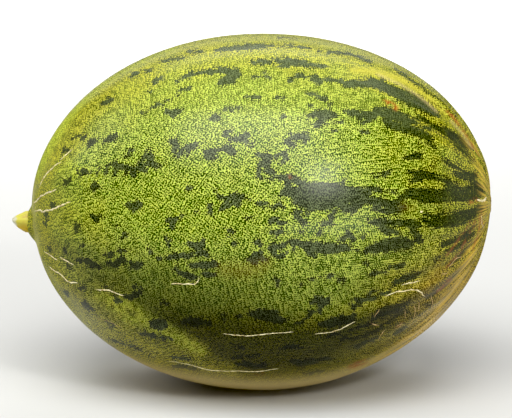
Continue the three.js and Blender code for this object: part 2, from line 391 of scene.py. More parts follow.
BLOTCHES_UPPER_MIDDLE: tuple[Stroke, ...] = (
    ((216, 51, 1.5), (228, 48.5, 2.0), (245, 47.2, 2.4), (262, 46.3, 1.8), (273, 46, 1.2)),
    ((279, 45.5, 0.9), (291, 45.5, 0.9)),
    ((298, 47, 1), (309, 49, 0.8)),
    ((278, 37, 0.6), (298, 37, 0.6)),
    ((318, 50.5, 0.6), (335, 52.5, 1.1), (350, 54.5, 1.1), (360, 57.5, 1.2), (371, 62, 0.9)),
    ((252, 62, 2), (262, 61.5, 2.1), (271, 62, 1.5)),
    ((275, 60, 2), (283, 61, 3.2), (297, 62, 3.3), (305, 64, 2.4), (313, 65.5, 1.6), (326, 66.5, 1.1)),
    ((279, 66, 1.6), (287, 65, 2.4)),
    ((246, 96, 1.3), (252, 97.5, 1.8), (258, 98, 1.5)),
    ((277, 98, 1.2), (283, 98, 1.5)),
    ((222, 110, 0.9), (232, 109, 1.5), (239, 108, 1)),
    ((211, 118.5, 2), (215, 117, 3), (218, 118, 2.5)),
    ((225, 135, 2), (228, 131, 1.8), (231, 130, 1.5)),
    ((225, 135, 2), (231, 134, 2)),
    ((232, 139, 2.5), (240, 138, 3), (248, 135, 2.8)),
    ((240, 138, 2.5), (246, 142, 2.5), (252, 144, 1.5)),
    ((285, 141, 2), (289, 142, 3.5), (292, 136, 2.5), (300, 136, 3.5), (305, 135, 3.5)),
    ((290, 141, 3), (294, 145, 2.6)),
    ((303, 138, 2), (306, 142, 1.8)),
    ((309, 116, 2.5), (316, 114, 4), (324, 114, 4.5), (332, 116, 3.5), (336, 115, 2)),
    ((322, 117, 3.5), (321, 122, 3), (316, 126, 2.5)),
    ((326, 123, 1), (342, 122, 1.2)),
    ((309, 93, 1.5), (316, 95, 1.5), (323, 98.5, 1.5), (326, 100, 1.5)),
    ((333, 131, 1.8), (336, 131, 1.2)),
    ((265, 74, 1.1), (270, 78, 1.1)),
    ((252, 77, 0.9), (259, 76, 0.9)),
    ((290, 80, 1.8), (298, 75.5, 1.8), (305, 78, 1.4)),
    ((311, 78, 1.4), (317, 76, 1.8), (321, 82, 2.3), (315, 82, 1.4)),
    ((326, 79, 1.2), (334, 80, 1.5), (342, 82, 2.5)),
    ((310, 105, 0.9), (311, 105, 0.9)),
    ((330, 105, 1), (331, 104, 1)),
    ((282, 117, 0.9), (286, 116, 0.9)),
    ((184, 148, 2), (190, 147, 4), (196, 145, 3)),
    ((186, 154, 1.5), (190, 149, 3)),
    ((204, 152, 2), (210, 152, 3.5), (216, 152, 2)),
    ((207, 157, 2.5), (213, 158, 2), (218, 158, 1)),
    ((221, 150, 2), (228, 147, 3), (231, 152, 3), (234, 154, 2)),
    ((249, 150, 1.3), (251, 151, 1.3)),
    ((257, 154, 1.5), (264, 156, 3), (268, 158, 3), (262, 164, 3.5), (258, 169, 2), (258, 175, 1.8)),
    ((268, 158, 3), (268, 165, 3.5), (266, 171, 2), (272, 171, 2.5)),
    ((258, 176, 1.5), (262, 179, 1.2), (270, 180, 1.2), (276, 177, 1)),
    ((277, 156, 1.5), (283, 153, 3), (287, 157, 2), (281, 163, 1.4)),
)
BLOTCHES_UPPER_BLOSSOM: tuple[Stroke, ...] = (
    ((340, 81, 1.5), (346, 84, 3), (355, 84, 3.5), (365, 84, 3), (372, 82, 4), (380, 84, 5)),
    (
        (380, 85, 4.5), (390, 89.5, 4.5), (400, 94.5, 6), (410, 99, 6.2), (420, 104.5, 5.2),
        (430, 110.5, 4.2),
    ),
    ((430, 110.5, 4.2), (437, 114.5, 2.2)),
    ((345, 111, 1.5), (352, 113, 2.5), (362, 116, 3.5), (370, 117, 3.5), (378, 112, 4)),
    ((378, 112, 4), (385, 112, 5), (393, 115, 5), (402, 118, 4), (410, 120, 3.5), (419, 122, 2)),
    ((387, 121, 4), (395, 125, 5), (403, 127, 5), (412, 130, 4.2), (422, 134, 4), (430, 137, 2.5)),
    ((364, 123, 1.8), (368, 120, 2)),
    ((361, 132, 1.8), (367, 132, 1.8)),
    ((418, 116, 1.5), (424, 119, 2), (428, 123, 1.6)),
    (
        (425, 127, 1.2), (434, 127, 2), (441, 130, 2.5), (449, 134, 3.6), (457, 139, 4.2),
        (464, 144.5, 3.4), (470, 149, 1.5),
    ),
    ((420, 143, 0.7), (428, 143, 0.8), (434, 146.5, 0.7)),
    ((456, 147, 0.9), (466, 154, 1.2), (472, 160, 1)),
    ((405, 158, 1), (411, 157, 2), (416, 155, 3), (421, 155, 2.3)),
    ((395, 69, 0.4), (405, 75, 0.7), (412, 80, 0.8), (420, 86, 0.8), (430, 93.5, 0.4)),
    ((430, 93.5, 0.4), (438, 100, 0.2), (447, 109, 0.1), (457, 119, 0.1)),
    ((444, 161, 1.2), (451, 164, 2), (457, 167, 2), (461, 170, 1)),
    ((433, 163, 1.4), (434, 164, 1.2)),
    ((373, 173, 1), (376, 176, 2)),
    ((384, 174, 2), (389, 172, 1.5)),
    ((343, 184, 2), (345, 180, 1.2)),
    ((410, 172, 1), (417, 174, 3), (424, 174, 3.6), (431, 176, 3.2), (438, 178, 2.4), (446, 181, 2)),
    ((410, 183, 1.2), (417, 181, 2), (424, 178, 2)),
    ((446, 181, 2), (451, 185, 2.5), (456, 188, 3)),
    ((455, 172, 1.4), (463, 175, 3), (470, 176, 4), (475, 175, 3)),
    ((472, 179, 3), (476, 187, 4), (477, 194, 4)),
)
BLOTCHES_GIRTH: tuple[Stroke, ...] = (
    ((281, 178, 3.2), (287, 177, 3.8), (294, 179, 3.8), (300, 183, 3.5), (306, 187, 4)),
    ((286, 182, 2.5), (288, 188, 4), (284, 191, 2.5), (281, 195, 1.6)),
    ((290, 193, 4.5), (300, 193, 7.5), (310, 193, 10), (322, 193, 10), (334, 193, 10), (344, 195, 9)),
    ((294, 200, 2.5), (301, 204, 4), (310, 206, 4), (320, 206, 4), (330, 204, 4)),
    ((344, 195, 8.5), (352, 196, 8), (361, 194, 6), (366, 193, 5)),
    ((338, 203, 4), (346, 207, 5), (352, 210, 4), (357, 204, 4.5), (365, 199, 3)),
    ((360, 190, 2.2), (370, 189, 2), (380, 190, 2), (388, 191, 1.2), (396, 192, 0.9)),
    (
        (366, 199, 3), (373, 201, 3.5), (381, 202, 4.2), (388, 206, 3.6), (395, 205, 3.6),
        (400, 200, 2.6),
    ),
    ((374, 208, 2), (382, 210, 2.5), (391, 212, 2), (398, 210, 2.6), (404, 207, 2)),
    ((402, 198, 2.5), (408, 194, 4), (416, 194, 6), (426, 195, 7.5), (438, 196, 7.2), (448, 196, 6.5)),
    ((448, 196, 6.5), (458, 196, 6.5), (468, 194, 7), (476, 192, 6)),
    ((446, 188, 2.5), (456, 190, 3), (464, 191, 3.5)),
    (
        (424, 220, 1.5), (430, 223.5, 3), (440, 222.5, 5.2), (451, 221, 6.2), (461, 218, 6.2),
        (471, 214.5, 5.2), (480, 209.5, 4),
    ),
    (
        (370, 222, 2), (378, 222, 3.6), (386, 222, 3.8), (395, 223, 3.8), (404, 223, 4), (412, 223, 4),
        (419, 224, 2.4),
    ),
    ((382, 226, 2.5), (386, 232, 3.8), (392, 231, 2.8), (397, 232, 1.8)),
    ((412, 226, 3), (414, 232, 3), (418, 236, 3.2), (419, 241, 2)),
    ((342, 240, 2.5), (347, 236, 3), (350, 233, 2), (353, 239, 2)),
    ((363, 238, 1.5), (368, 234, 1)),
    (
        (364, 251, 1.8), (372, 249, 4), (380, 247, 5.5), (390, 244, 6.5), (398, 243, 7), (405, 243, 6),
        (410, 245, 3),
    ),
    (
        (288, 242, 1.8), (296, 242, 3), (305, 244, 3.4), (314, 247, 5), (324, 248, 5), (336, 248, 5),
        (346, 248, 3.5),
    ),
    ((346, 248, 3), (352, 249, 1.6), (358, 250, 1)),
    ((308, 249, 3), (310, 254, 2.5), (314, 256, 1.4)),
    ((293, 250, 1.4), (297, 247, 1.8)),
    ((293, 213, 1.5), (297, 217, 2.5), (303, 221, 2.6), (306, 224, 1.6)),
    ((295, 212, 2), (302, 212, 2.2), (308, 214, 1.4)),
    ((304, 226, 1.2), (304, 229, 1), (301, 232, 1)),
    ((331, 219, 2), (331, 214, 2), (334, 212, 2)),
    ((320, 226, 1.2), (326, 223, 2.2), (333, 223, 1.4)),
    ((315, 236, 1), (321, 233, 1.6)),
    ((426, 214, 1), (434, 216, 1.4), (442, 214, 1.4)),
)
BLOTCHES_LOWER_STEM: tuple[Stroke, ...] = (
    ((52.5, 204, 1.8), (52.6, 206, 1.5)),
    ((46.5, 213, 1.2), (46, 219, 1.3), (45.5, 224, 1.2)),
    ((128, 206, 2), (133, 206, 4), (138, 204, 3.2), (134, 210, 2)),
    ((94, 217, 3), (96, 220, 2.4), (99, 217, 2), (102, 217.5, 0.8)),
    ((76, 225, 2), (77, 227, 2.5), (77, 231, 1)),
    ((168, 221, 3), (173, 221, 4), (177, 218, 2.5), (182, 214, 1.8)),
    ((172, 223, 3), (173, 227, 1.6)),
    ((123, 237, 2), (124, 235.5, 2.5), (126, 233, 1)),
    ((114, 225, 0.8), (120, 227, 0.8)),
    ((166, 238, 1.5), (169, 241, 2), (169, 246, 1)),
    ((48, 247, 1.3), (50, 250, 1.5)),
    ((65, 250, 1.4), (66, 252, 1.2)),
    ((79, 245, 0.9), (83, 245, 0.9)),
    ((60, 228, 0.8), (62, 228, 0.8)),
    ((107, 256, 2.5), (112, 254, 2)),
    ((119, 250, 1), (129, 251, 1)),
    ((148, 248, 1), (151, 253, 1.5)),
    ((159, 258, 1.5), (163, 259, 1.2)),
    ((168, 258, 1.6), (175, 256, 3), (182, 256, 3), (187, 258, 2.4)),
    ((77, 260, 1), (84, 261, 2.5), (90, 262, 3.2), (95, 266, 3.4), (102, 268, 1.6)),
    ((108, 262, 1.6), (113, 265, 3), (118, 264, 3.5), (121, 259, 2.6), (127, 262, 2)),
    ((130, 264, 2.4), (135, 266, 3.4), (140, 264, 2.4)),
    ((67, 264, 1), (70, 268, 2)),
    ((176, 268, 2.4), (179, 272, 2.4), (184, 275, 3.2), (190, 277, 3.6), (196, 278, 2.2)),
    ((81, 288, 1.6), (83, 288, 1.6)),
    ((64, 291, 0.9), (68, 295, 1.3)),
    ((84, 303, 1.8), (88, 307, 1.9), (93, 310, 1.4)),
    ((104, 287, 0.9), (106, 288, 0.9)),
    ((115, 298, 1.4), (117, 301, 1.8), (121, 301, 1.8)),
    ((126, 297, 1.5), (132, 297, 2.6), (138, 293, 3), (139, 289, 2.6), (134, 287, 1.6)),
    ((164, 302, 1.8), (168, 304, 1.2)),
    ((106, 321, 0.7), (110, 324, 1.6), (113, 326, 1)),
    ((152, 323, 2.6), (158, 324, 5), (164, 324, 4.2), (160, 330, 2)),
    ((140, 333, 1.3), (148, 334.5, 1.9), (156, 336.5, 2), (164, 338.5, 2), (172, 339, 1)),
    ((111, 339, 1), (116, 342, 1)),
    ((120, 343, 0.8), (131, 346, 1.1), (142, 351, 0.9)),
    ((149, 354, 0.9), (154, 356, 0.7)),
    ((172, 357, 0.8), (180, 358, 1.3), (189, 359, 1.7)),
    ((173, 366, 1), (182, 367, 1.6), (190, 368, 1.6), (198, 370, 0.8)),
)
BLOTCHES_LOWER_MIDDLE: tuple[Stroke, ...] = (
    ((187, 188, 1.8), (192, 188, 1)),
    ((196, 212, 1.8), (197, 213, 1.2)),
    ((210, 206, 2.3), (210, 212, 2), (213, 217, 1)),
    ((215, 189, 1.4), (218, 193, 2.2), (219, 197, 2), (225, 198, 2.4)),
    ((228, 200, 4), (236, 197, 4.6), (243, 197, 2.8), (248, 199, 1.4)),
    ((232, 202, 3.4), (226, 206, 2.8), (221, 209, 1.6)),
    ((234, 202, 3), (238, 205, 1.8)),
    ((227, 230, 1.4), (231, 231, 2.5), (232, 235, 1.5), (227, 237, 1.5)),
    ((234, 243, 1.2), (235, 243, 1)),
    ((189, 244, 2.6), (195, 247, 4), (202, 246, 3), (203, 240, 1.5)),
    ((187, 256, 1.4), (197, 253, 2.5), (205, 253, 3), (207, 257, 2)),
    ((190, 266, 2), (198, 265, 3.2), (206, 265, 3.5), (214, 264, 3.5), (219, 265, 1.6)),
    ((203, 274, 1.8), (209, 275, 2.9), (214, 275, 2)),
    ((245, 217, 0.9), (252, 217, 0.9)),
    ((258, 203, 2), (263, 206, 2), (268, 202, 2), (273, 207, 2.4), (279, 204, 2), (283, 207, 1.8)),
    ((270, 222, 2.6), (276, 219, 2.5), (280, 223, 2), (286, 222, 1.8)),
    ((271, 233, 1.4), (278, 233, 2), (283, 231, 1.4)),
    ((255, 243, 1.8), (259, 239, 1.5), (261, 246, 1)),
    ((270, 247, 2.5), (276, 246, 3.2), (283, 246, 2.5)),
    ((274, 249, 2.4), (273, 253, 2.2), (280, 256, 2.4), (287, 252, 1)),
    ((247, 261, 1.4), (253, 258, 4.2), (259, 256, 5), (264, 259, 3)),
    ((250, 261, 2), (256, 262, 2.4)),
    ((224, 315, 1.9), (225, 318, 2)),
    ((236, 315, 1), (241, 316, 1.3)),
    ((183, 322, 2.8), (190, 321, 4), (198, 323, 4.4), (204, 322, 3), (211, 323, 1.1)),
    (
        (251, 313, 2.4), (257, 314, 4.4), (263, 315, 5.2), (269, 317, 4.4), (275, 319, 4.2),
        (281, 320, 3.6), (286, 319, 1.4),
    ),
    ((268, 313, 3), (275, 312, 2)),
    ((274, 279, 0.9), (278, 282, 1.5), (278, 286, 0.9)),
    ((301, 284, 1.1), (301, 286, 1.1)),
    ((312, 279, 1), (317, 278, 1)),
    ((327, 277, 2), (333, 275, 1.3)),
    ((312, 302, 2.8), (319, 300, 4.2), (325, 301, 4), (329, 298, 1.8)),
    ((316, 304, 2.2), (322, 306, 1.5)),
    ((295, 325, 0.8), (303, 322, 1.2), (309, 316, 1.5), (313, 312, 1.5), (321, 311, 1)),
    ((320, 325, 1.8), (327, 324, 4), (334, 322, 4.5), (342, 321, 5), (350, 319, 4), (355, 316, 2)),
    ((327, 336, 0.9), (334, 335, 1.5), (341, 333, 1)),
    ((234, 345, 1.2), (243, 348, 1.1)),
    ((280, 349, 0.9), (287, 347, 1.5), (295, 346, 1.8), (302, 346, 1)),
    ((233, 358, 1.1), (242, 357, 1.2), (258, 355, 0.9)),
    ((237, 364, 1.8), (245, 365, 2.4), (255, 366, 2.5), (264, 366, 1.8)),
    ((292, 361, 2.2), (300, 363, 3.4), (308, 362, 3), (317, 360, 2.4), (332, 358, 0.9)),
    ((303, 374, 0.7), (312, 373, 1.3), (323, 371, 0.8)),
)
BLOTCHES_LOWER_BLOSSOM: tuple[Stroke, ...] = (
    ((339, 281, 1.5), (342, 279, 1.4), (344, 282, 1.5)),
    ((365, 263, 1.8), (367, 265, 1.4)),
    ((388, 268, 1.3), (394, 267, 2), (400, 266, 2.5), (404, 263, 1.4)),
    ((370, 275, 1.4), (378, 273, 1.6), (388, 271, 1.1)),
    ((393, 285, 1.3), (398, 281, 2.5), (405, 278, 3.6), (412, 276, 3.5), (418, 273, 2.2)),
    ((371, 292, 1.3), (377, 291, 1.1)),
    ((352, 300, 1.4), (359, 300, 3), (367, 299, 3), (374, 297, 2), (383, 294, 1.2), (392, 291, 0.8)),
    ((352, 306, 1.6), (360, 305, 1.4)),
    ((373, 318, 2.2), (380, 314, 4), (388, 310, 5), (395, 308, 4), (402, 305, 2.4), (410, 302, 1.3)),
    ((425, 305, 1), (430, 305, 1.2)),
    ((436, 260, 1.5), (440, 257, 1.5)),
    ((380, 325, 0.9), (388, 322, 1.1), (395, 317, 1.6), (402, 313, 1.7), (408, 311, 1.2)),
    ((349, 331, 0.7), (357, 327, 1), (365, 326, 1.2), (371, 323, 1)),
    ((350, 340, 0.8), (360, 337, 1), (370, 333, 1.2), (380, 329, 1.3), (388, 326, 0.9)),
    ((393, 334, 0.9), (400, 330, 1.8), (406, 327, 1.2)),
    ((355, 347, 1.3), (365, 343, 1.8), (372, 340, 1.5), (377, 338, 1)),
    ((340, 339, 1.1), (347, 337, 0.8)),
    ((428, 297, 2), (435, 292, 1.5), (441, 288, 1.1)),
    ((441, 288, 1), (450, 282, 1.3), (457, 274, 1.4), (463, 267, 1.2), (468, 260, 0.9)),
    ((446, 268, 0.8), (453, 263, 1.1), (459, 257, 1.1), (466, 249, 1.2), (472, 241, 1)),
    ((444, 251, 0.9), (451, 250, 1.1), (459, 246, 1.4), (466, 240, 1.4), (473, 233, 1.2)),
    (
        (442, 246, 0.9), (448, 243, 1.4), (455, 240, 1.9), (462, 237, 2.2), (468, 232, 1.5),
        (474, 226, 1),
    ),
    ((476, 244, 0.7), (481, 234, 0.9), (484, 224, 0.8)),
)


# Lighter or warmer places on the skin that the photograph shows, in the same way. Some are painted
# light: the rim places are painted rim light, and the lit flank is where the painted shade is lifted.
# Lime patches of the skin. The first stroke, along the upper-left outline, is painted rim light, and the
# dabs near (320, 215) and (328, 238) are painted highlights.
LIME_PLACES: tuple[Stroke, ...] = (
    (
        (43, 165, 2.5), (52, 142, 4.5), (63, 122, 5), (78, 104, 5), (96, 88, 4.5), (118, 73, 3.5),
        (140, 62, 2.5),
    ),
    ((58, 165, 6), (72, 172, 9), (88, 176, 9), (100, 178, 4)),
    (
        (98, 294, 5), (114, 303, 9), (130, 313, 12), (146, 322, 9), (166, 331, 7), (184, 342, 8),
        (202, 351, 6),
    ),
    ((140, 77, 1.5), (150, 75, 1.5)),
    ((292, 45, 2), (294, 48, 2)),
    ((78, 234, 2), (92, 238, 2)),
    ((285, 206, 5), (292, 207, 3)),
    ((318, 214, 4), (325, 216, 3)),
    ((320, 238, 2), (335, 238, 3)),
)
FOLD_BAND: tuple[Stroke, ...] = (
    (
        (352, 70, 2), (375, 72, 3), (395, 77, 3.4), (412, 85, 3.2), (428, 96.5, 3), (440, 108, 2.2),
        (446, 114, 1.4),
    ),
)
RUST_PLACES: tuple[Stroke, ...] = (
    ((385, 101, 1.5), (391, 104, 3), (396, 108, 2.5)),
    ((447, 111, 1), (454, 118, 1.3), (462, 129, 1), (470, 142, 1), (478, 155, 0.8)),
    ((350, 367, 2), (358, 364, 3), (366, 361, 2)),
    ((289, 177, 1), (290, 178, 1)),
    ((256, 373, 1.5), (262, 373, 1.5)),
    ((437, 292, 1), (445, 284, 1.5), (450, 279, 1)),
    ((396, 328, 1), (402, 323, 1)),
    ((480, 218, 1.2), (483, 224, 1.2)),
    ((470, 203, 1.5), (475, 200, 2.2)),
    ((481, 212, 0.6), (480, 225, 0.7), (476, 240, 0.7), (470, 255, 0.6)),
    ((475, 221, 0.6), (468, 237, 0.7), (458, 255, 0.7), (446, 268, 0.6)),
    ((470, 222, 0.5), (460, 238, 0.6), (447, 255, 0.6), (436, 265, 0.5)),
    ((372, 324, 1), (376, 323, 1)),
)
# Where the painted shade of the lower flank is lifted.
LIT_FLANK_PLACES: tuple[Stroke, ...] = (
    ((58, 262, 9), (80, 298, 15), (108, 325, 18), (142, 346, 14), (180, 360, 10), (230, 372, 6)),
)
# Painted rim light: the lime along the upper-left outline.
UPPER_RIM_LIGHT_PLACES: tuple[Stroke, ...] = (
    ((38, 176, 2.5), (43, 160, 4), (52, 141, 5), (64, 121, 5.5), (78, 103, 5.5), (95, 86, 5)),
    ((95, 86, 5), (118, 70, 4.5), (145, 56, 3.5), (175, 46, 2.5)),
)
# Painted rim light: tan along the lower right outline, where bounce from the floor lights the rim.
LOWER_RIM_LIGHT_PLACES: tuple[Stroke, ...] = (
    (
        (366, 370, 3), (395, 352, 5), (416, 335, 7), (436, 314, 7), (453, 290, 6.2), (466, 267, 5),
        (478, 238, 4),
    ),
    (
        (478, 238, 4), (484, 215, 3.5), (485, 195, 3.5), (482, 172, 3.5), (474, 150, 2.5),
        (464, 134, 1.5),
    ),
)
BLEACHED_PLACES: tuple[Stroke, ...] = (
    ((378, 74.5, 0.6), (400, 84.3, 0.7), (415, 93.3, 0.7), (426, 102, 0.7), (437, 112, 0.6)),
    ((451, 121, 0.5), (463, 134, 0.5), (472, 148, 0.5)),
)
HAZY_TAN_PLACES: tuple[Stroke, ...] = (
    ((225, 270, 7), (240, 271, 8), (256, 270, 7), (268, 264, 4)),
    ((262, 262, 2.2), (266, 261, 1.5)),
    ((405, 207, 3), (412, 208, 2)),
    ((425, 290, 4), (432, 280, 4), (440, 272, 5)),
)

# The tints that have places: for each its places, how far its edge fades in millimetres, and its
# strength.
PLACED_TINTS: dict[str, tuple[tuple[Stroke, ...], float, float]] = {
    "lime": (LIME_PLACES, 3.0, 1.0),
    "lit": (LIT_FLANK_PLACES, 6.0, 0.62),
    "band": (FOLD_BAND, 1.5, 0.7),
    "rim": (LOWER_RIM_LIGHT_PLACES, 3.0, 0.8),
    "clear": (UPPER_RIM_LIGHT_PLACES, 2.0, 0.95),
    "rust": (RUST_PLACES, 1.0, 0.9),
    "hazy": (HAZY_TAN_PLACES, 4.0, 0.28),
    "bleached": (BLEACHED_PLACES, 1.2, 0.6),
}

# Cork cracks, as routes of pixels, with how wide each is in millimetres.
CRACKS: tuple[tuple[float, tuple[Spot, ...]], ...] = (
    (1.1, ((39, 188), (46, 174), (55, 166), (62, 162))),
    (0.8, ((61, 160), (68, 154), (74, 148.5))),
    (1.1, ((34, 202.5), (39, 197), (46, 192.3), (56.3, 189.5))),
    (1.2, ((34.5, 211.6), (39, 211.3), (44, 211.3), (49.4, 209.6), (59.7, 206.8), (70, 202))),
    (0.8, ((43.6, 251), (50.5, 255.5), (57.4, 260.7))),
    (0.8, ((59, 257.8), (65.5, 260.7), (73, 265.3))),
    (1.0, ((49.4, 265.8), (55, 271), (59.7, 273.3), (64.3, 277.3), (70, 282.5), (78, 283))),
    (0.9, ((95, 289.5), (108, 291.7), (123.5, 295.8))),
    (0.8, ((170.8, 284.3), (185, 284.3), (196, 284.9), (199, 277.4))),
    (0.5, ((95.6, 317), (106, 320), (115, 324), (123, 327.3))),
    (
        0.8, ((166.8, 361.2), (186.3, 364.1), (197.8, 367.5), (214, 370.8), (237, 371.4), (251, 371.6),
        (278.6, 369.2)),
    ),
    (
        0.75, ((222.8, 332.7), (234.7, 334.2), (250, 335.1), (263, 334.8), (273.7, 332.6),
        (293.8, 331.6)),
    ),
    (0.75, ((312.8, 334), (328, 332.3), (340, 328.7), (347, 325.4), (355, 321))),
    (0.5, ((373.5, 317), (376.2, 313), (379.3, 308.5))),
    (0.6, ((371, 324), (374.5, 324.8), (378.8, 325.4))),
    (0.5, ((395.5, 326), (399, 324.2), (403, 323))),
    (
        0.9, ((386.4, 296.8), (391, 294.3), (397, 291.7), (405.3, 291.2), (413.5, 290.2),
        (419.6, 292.8), (424.7, 296.8)),
    ),
    (0.9, ((402.2, 285), (407.3, 283), (413.5, 283), (420.6, 281))),
    (0.6, ((379.3, 341.2), (380.8, 335), (385, 329))),
    (0.55, ((414, 304.5), (415, 310.6), (413, 317.8), (412, 321.8))),
    (0.6, ((419, 301.4), (418.6, 307.6), (417.6, 311.6))),
    (0.6, ((404.8, 310.6), (405.3, 317.8))),
    (0.6, ((432.3, 294.3), (431.8, 300.4), (430.8, 307.6))),
    (0.6, ((441, 273), (445, 275.4), (448.2, 270.8))),
    (0.6, ((448.2, 267.8), (452.2, 263.7), (456.3, 259.6), (462.4, 256.5))),
    (0.5, ((409.4, 321.8), (411, 326.4))),
    (0.5, ((398.2, 328), (400.2, 323))),
    (1.7, ((476, 200.3), (480, 201.8), (483.5, 201.3), (486, 199.2), (487.4, 196.4))),
    (0.7, ((480.2, 214.8), (481.3, 220), (483, 223.5), (484, 228))),
    (0.9, ((420.4, 210.2), (421.4, 213.2), (422.8, 210.8))),
)


def nearest_mark(points: Array, dabs: list[Array], reach: float) -> Array:
    """Measures how far points lie outside a set of marks.

    Args:
        points: Points, one a row, in two or three dimensions.
        dabs: Each mark's dabs, one a row: a point, then its half width.
        reach: The largest distance that matters.

    Returns:
        The distance to the nearest mark's edge, less than 0 inside it.
    """
    nearest = np.full(len(points), reach)
    for chain in dabs:
        margin = reach + chain[:, -1].max()
        low, high = chain[:, :-1].min(axis=0) - margin, chain[:, :-1].max(axis=0) + margin
        near = np.flatnonzero(np.all((points > low) & (points < high), axis=1))
        for start, end in zip(chain[:-1], chain[1:]):
            step = end[:-1] - start[:-1]
            from_start = points[near] - start[:-1]
            share = np.clip(from_start @ step / max(step @ step, 1e-9), 0.0, 1.0)
            gap = np.linalg.norm(from_start - share[:, None] * step, axis=1)
            half = start[-1] + share * (end[-1] - start[-1])
            nearest[near] = np.minimum(nearest[near], gap - half)
    return nearest


@dataclass
class SkinMarks:
    """Where the skin's blotches and tints lie, on both sides of the fruit."""

    form: FruitForm
    view: PhotoView
    seed: int = 7
    hidden_blotches: int = 270
    rim: float = 0.16  # the skin counts as seen where it faces the eye by more than this
    reach: float = 12.0  # how far a mark is felt, in millimetres

    def as_chains(self, strokes: tuple[Stroke, ...]) -> list[Array]:
        """Turns strokes into arrays of dabs."""
        return [np.array(stroke, dtype=float) for stroke in strokes]

    def seen(self, points: Array, strokes: tuple[Stroke, ...]) -> Array:
        """Measures the distance in millimetres outside marks that the photograph shows."""
        reach_px = self.reach / self.view.mm_per_px
        gap = nearest_mark(self.view.project(points), self.as_chains(strokes), reach_px)
        return gap * self.view.mm_per_px

    def hidden_chain(self, draw: np.random.Generator) -> Array:
        """Draws one blotch for the hidden side.

        Args:
            draw: The seeded source of chance.

        Returns:
            Its dabs as points on the skin with half widths in millimetres.
        """
        along = draw.uniform(-0.92, 0.97)
        angle = draw.uniform(0.0, 2.0 * math.pi)
        late = float(smoothstep(np.array([along]), -0.2, 0.9)[0])
        count = int(draw.integers(2, 6))
        half = draw.lognormal(0.4, 0.5) * (1.0 + 0.9 * late)
        stride = (1.0 + 0.8 * half) * draw.uniform(0.9, 1.4) * (1.0 + 1.2 * late)
        stride /= self.form.stem_half
        dabs = []
        for i in range(count):
            here = np.clip(along + stride * i, -0.985, 0.985)
            turn = angle + draw.normal(0.0, 0.024)
            ring = math.sqrt(1.0 - here * here)
            ball = np.array([[here, ring * math.cos(turn), ring * math.sin(turn)]])
            ball[:, 2] += self.form.axis_tilt * here + self.form.axis_bow * here * here
            size = half * draw.uniform(0.6, 1.25) * (0.6 if i in (0, count - 1) else 1.0)
            dabs.append(np.append(self.form.towards(ball)[0], size))
        return np.array(dabs)

    def blotches(self, points: Array, facing: Array) -> Array:
        """Measures the distance in millimetres outside the nearest blotch, on either side.

        Args:
            points: Points on the skin.
            facing: How squarely each faces the photograph's eye.

        Returns:
            The distance, less than 0 inside a blotch.
        """
        shown = (
            BLOTCHES_UPPER_STEM
            + BLOTCHES_UPPER_MIDDLE
            + BLOTCHES_UPPER_BLOSSOM
            + BLOTCHES_GIRTH
            + BLOTCHES_LOWER_STEM
            + BLOTCHES_LOWER_MIDDLE
            + BLOTCHES_LOWER_BLOSSOM
        )
        draw = np.random.default_rng(self.seed)
        unseen = [self.hidden_chain(draw) for _ in range(self.hidden_blotches)]
        hidden = nearest_mark(points, unseen, self.reach)
        seen = self.seen(points, shown) + self.reach * smoothstep(facing, self.rim, 0.0)
        return np.minimum(seen, hidden + self.reach * smoothstep(facing, 0.0, self.rim))

    def place(self, points: Array, facing: Array, strokes: tuple[Stroke, ...], soft: float) -> Array:
        """Gives a tint's strength, 1 well inside its places and 0 outside.

        Args:
            points: Points on the skin.
            facing: How squarely each faces the photograph's eye.
            strokes: The tint's places.
            soft: How far its edge fades, in millimetres.

        Returns:
            The strength at each point.
        """
        return smoothstep(self.seen(points, strokes), soft, -soft) * smoothstep(facing, 0.0, self.rim)


def empty_material(name: str) -> bpy.types.Material:
    """Makes a material with no nodes, named for the finish that it is."""
    material = bpy.data.materials.new(name)
    material.use_nodes = True
    material.node_tree.nodes.clear()
    return material


def add_node(
    tree: bpy.types.NodeTree,
    kind: str,
    inputs: dict | None = None,
    out: int | str = 0,
    **settings: object,
) -> Socket:
    """Adds a node with its settings and links.

    Args:
        tree: The tree to add to.
        kind: The node's type.
        inputs: For each input, by its name or its place, another node's socket or a value.
        out: Which output to return.
        settings: The node's own settings.

    Returns:
        The output's socket, or the first input's where the node has no output.
    """
    node = tree.nodes.new(kind)
    for name, value in settings.items():
        setattr(node, name, value)
    for key, value in (inputs or {}).items():
        if isinstance(value, Socket):
            tree.links.new(value, node.inputs[key])
        else:
            node.inputs[key].default_value = value
    return node.outputs[out] if len(node.outputs) else node.inputs[0]


def lumps_every(period_mm: float) -> float:
    """Gives the scale of a noise on metres whose light lumps lie so many millimetres apart."""
    return 1.75 / (period_mm * MM)


# What the skin's mesh stores at each vertex for its finish, each from 0 to 1 but for "blotch", which
# is the distance in millimetres outside the nearest blotch. Some carry painted light: "shade" is painted
# shade, "clear" painted rim light and "collar" a painted highlight, while "pale", "warm", "tan", "lime"
# and "bleached" are partly painted light.
SKIN_MASKS = (
    "blotch",
    "blossom",
    "warm",
    "brown",
    "pale",
    "lime",
    "clear",
    "band",
    "tan",
    "hazy",
    "rust",
    "bleached",
    "collar_highlight",
    "scar",
    "shade",
    "matt",
    "olive",
)


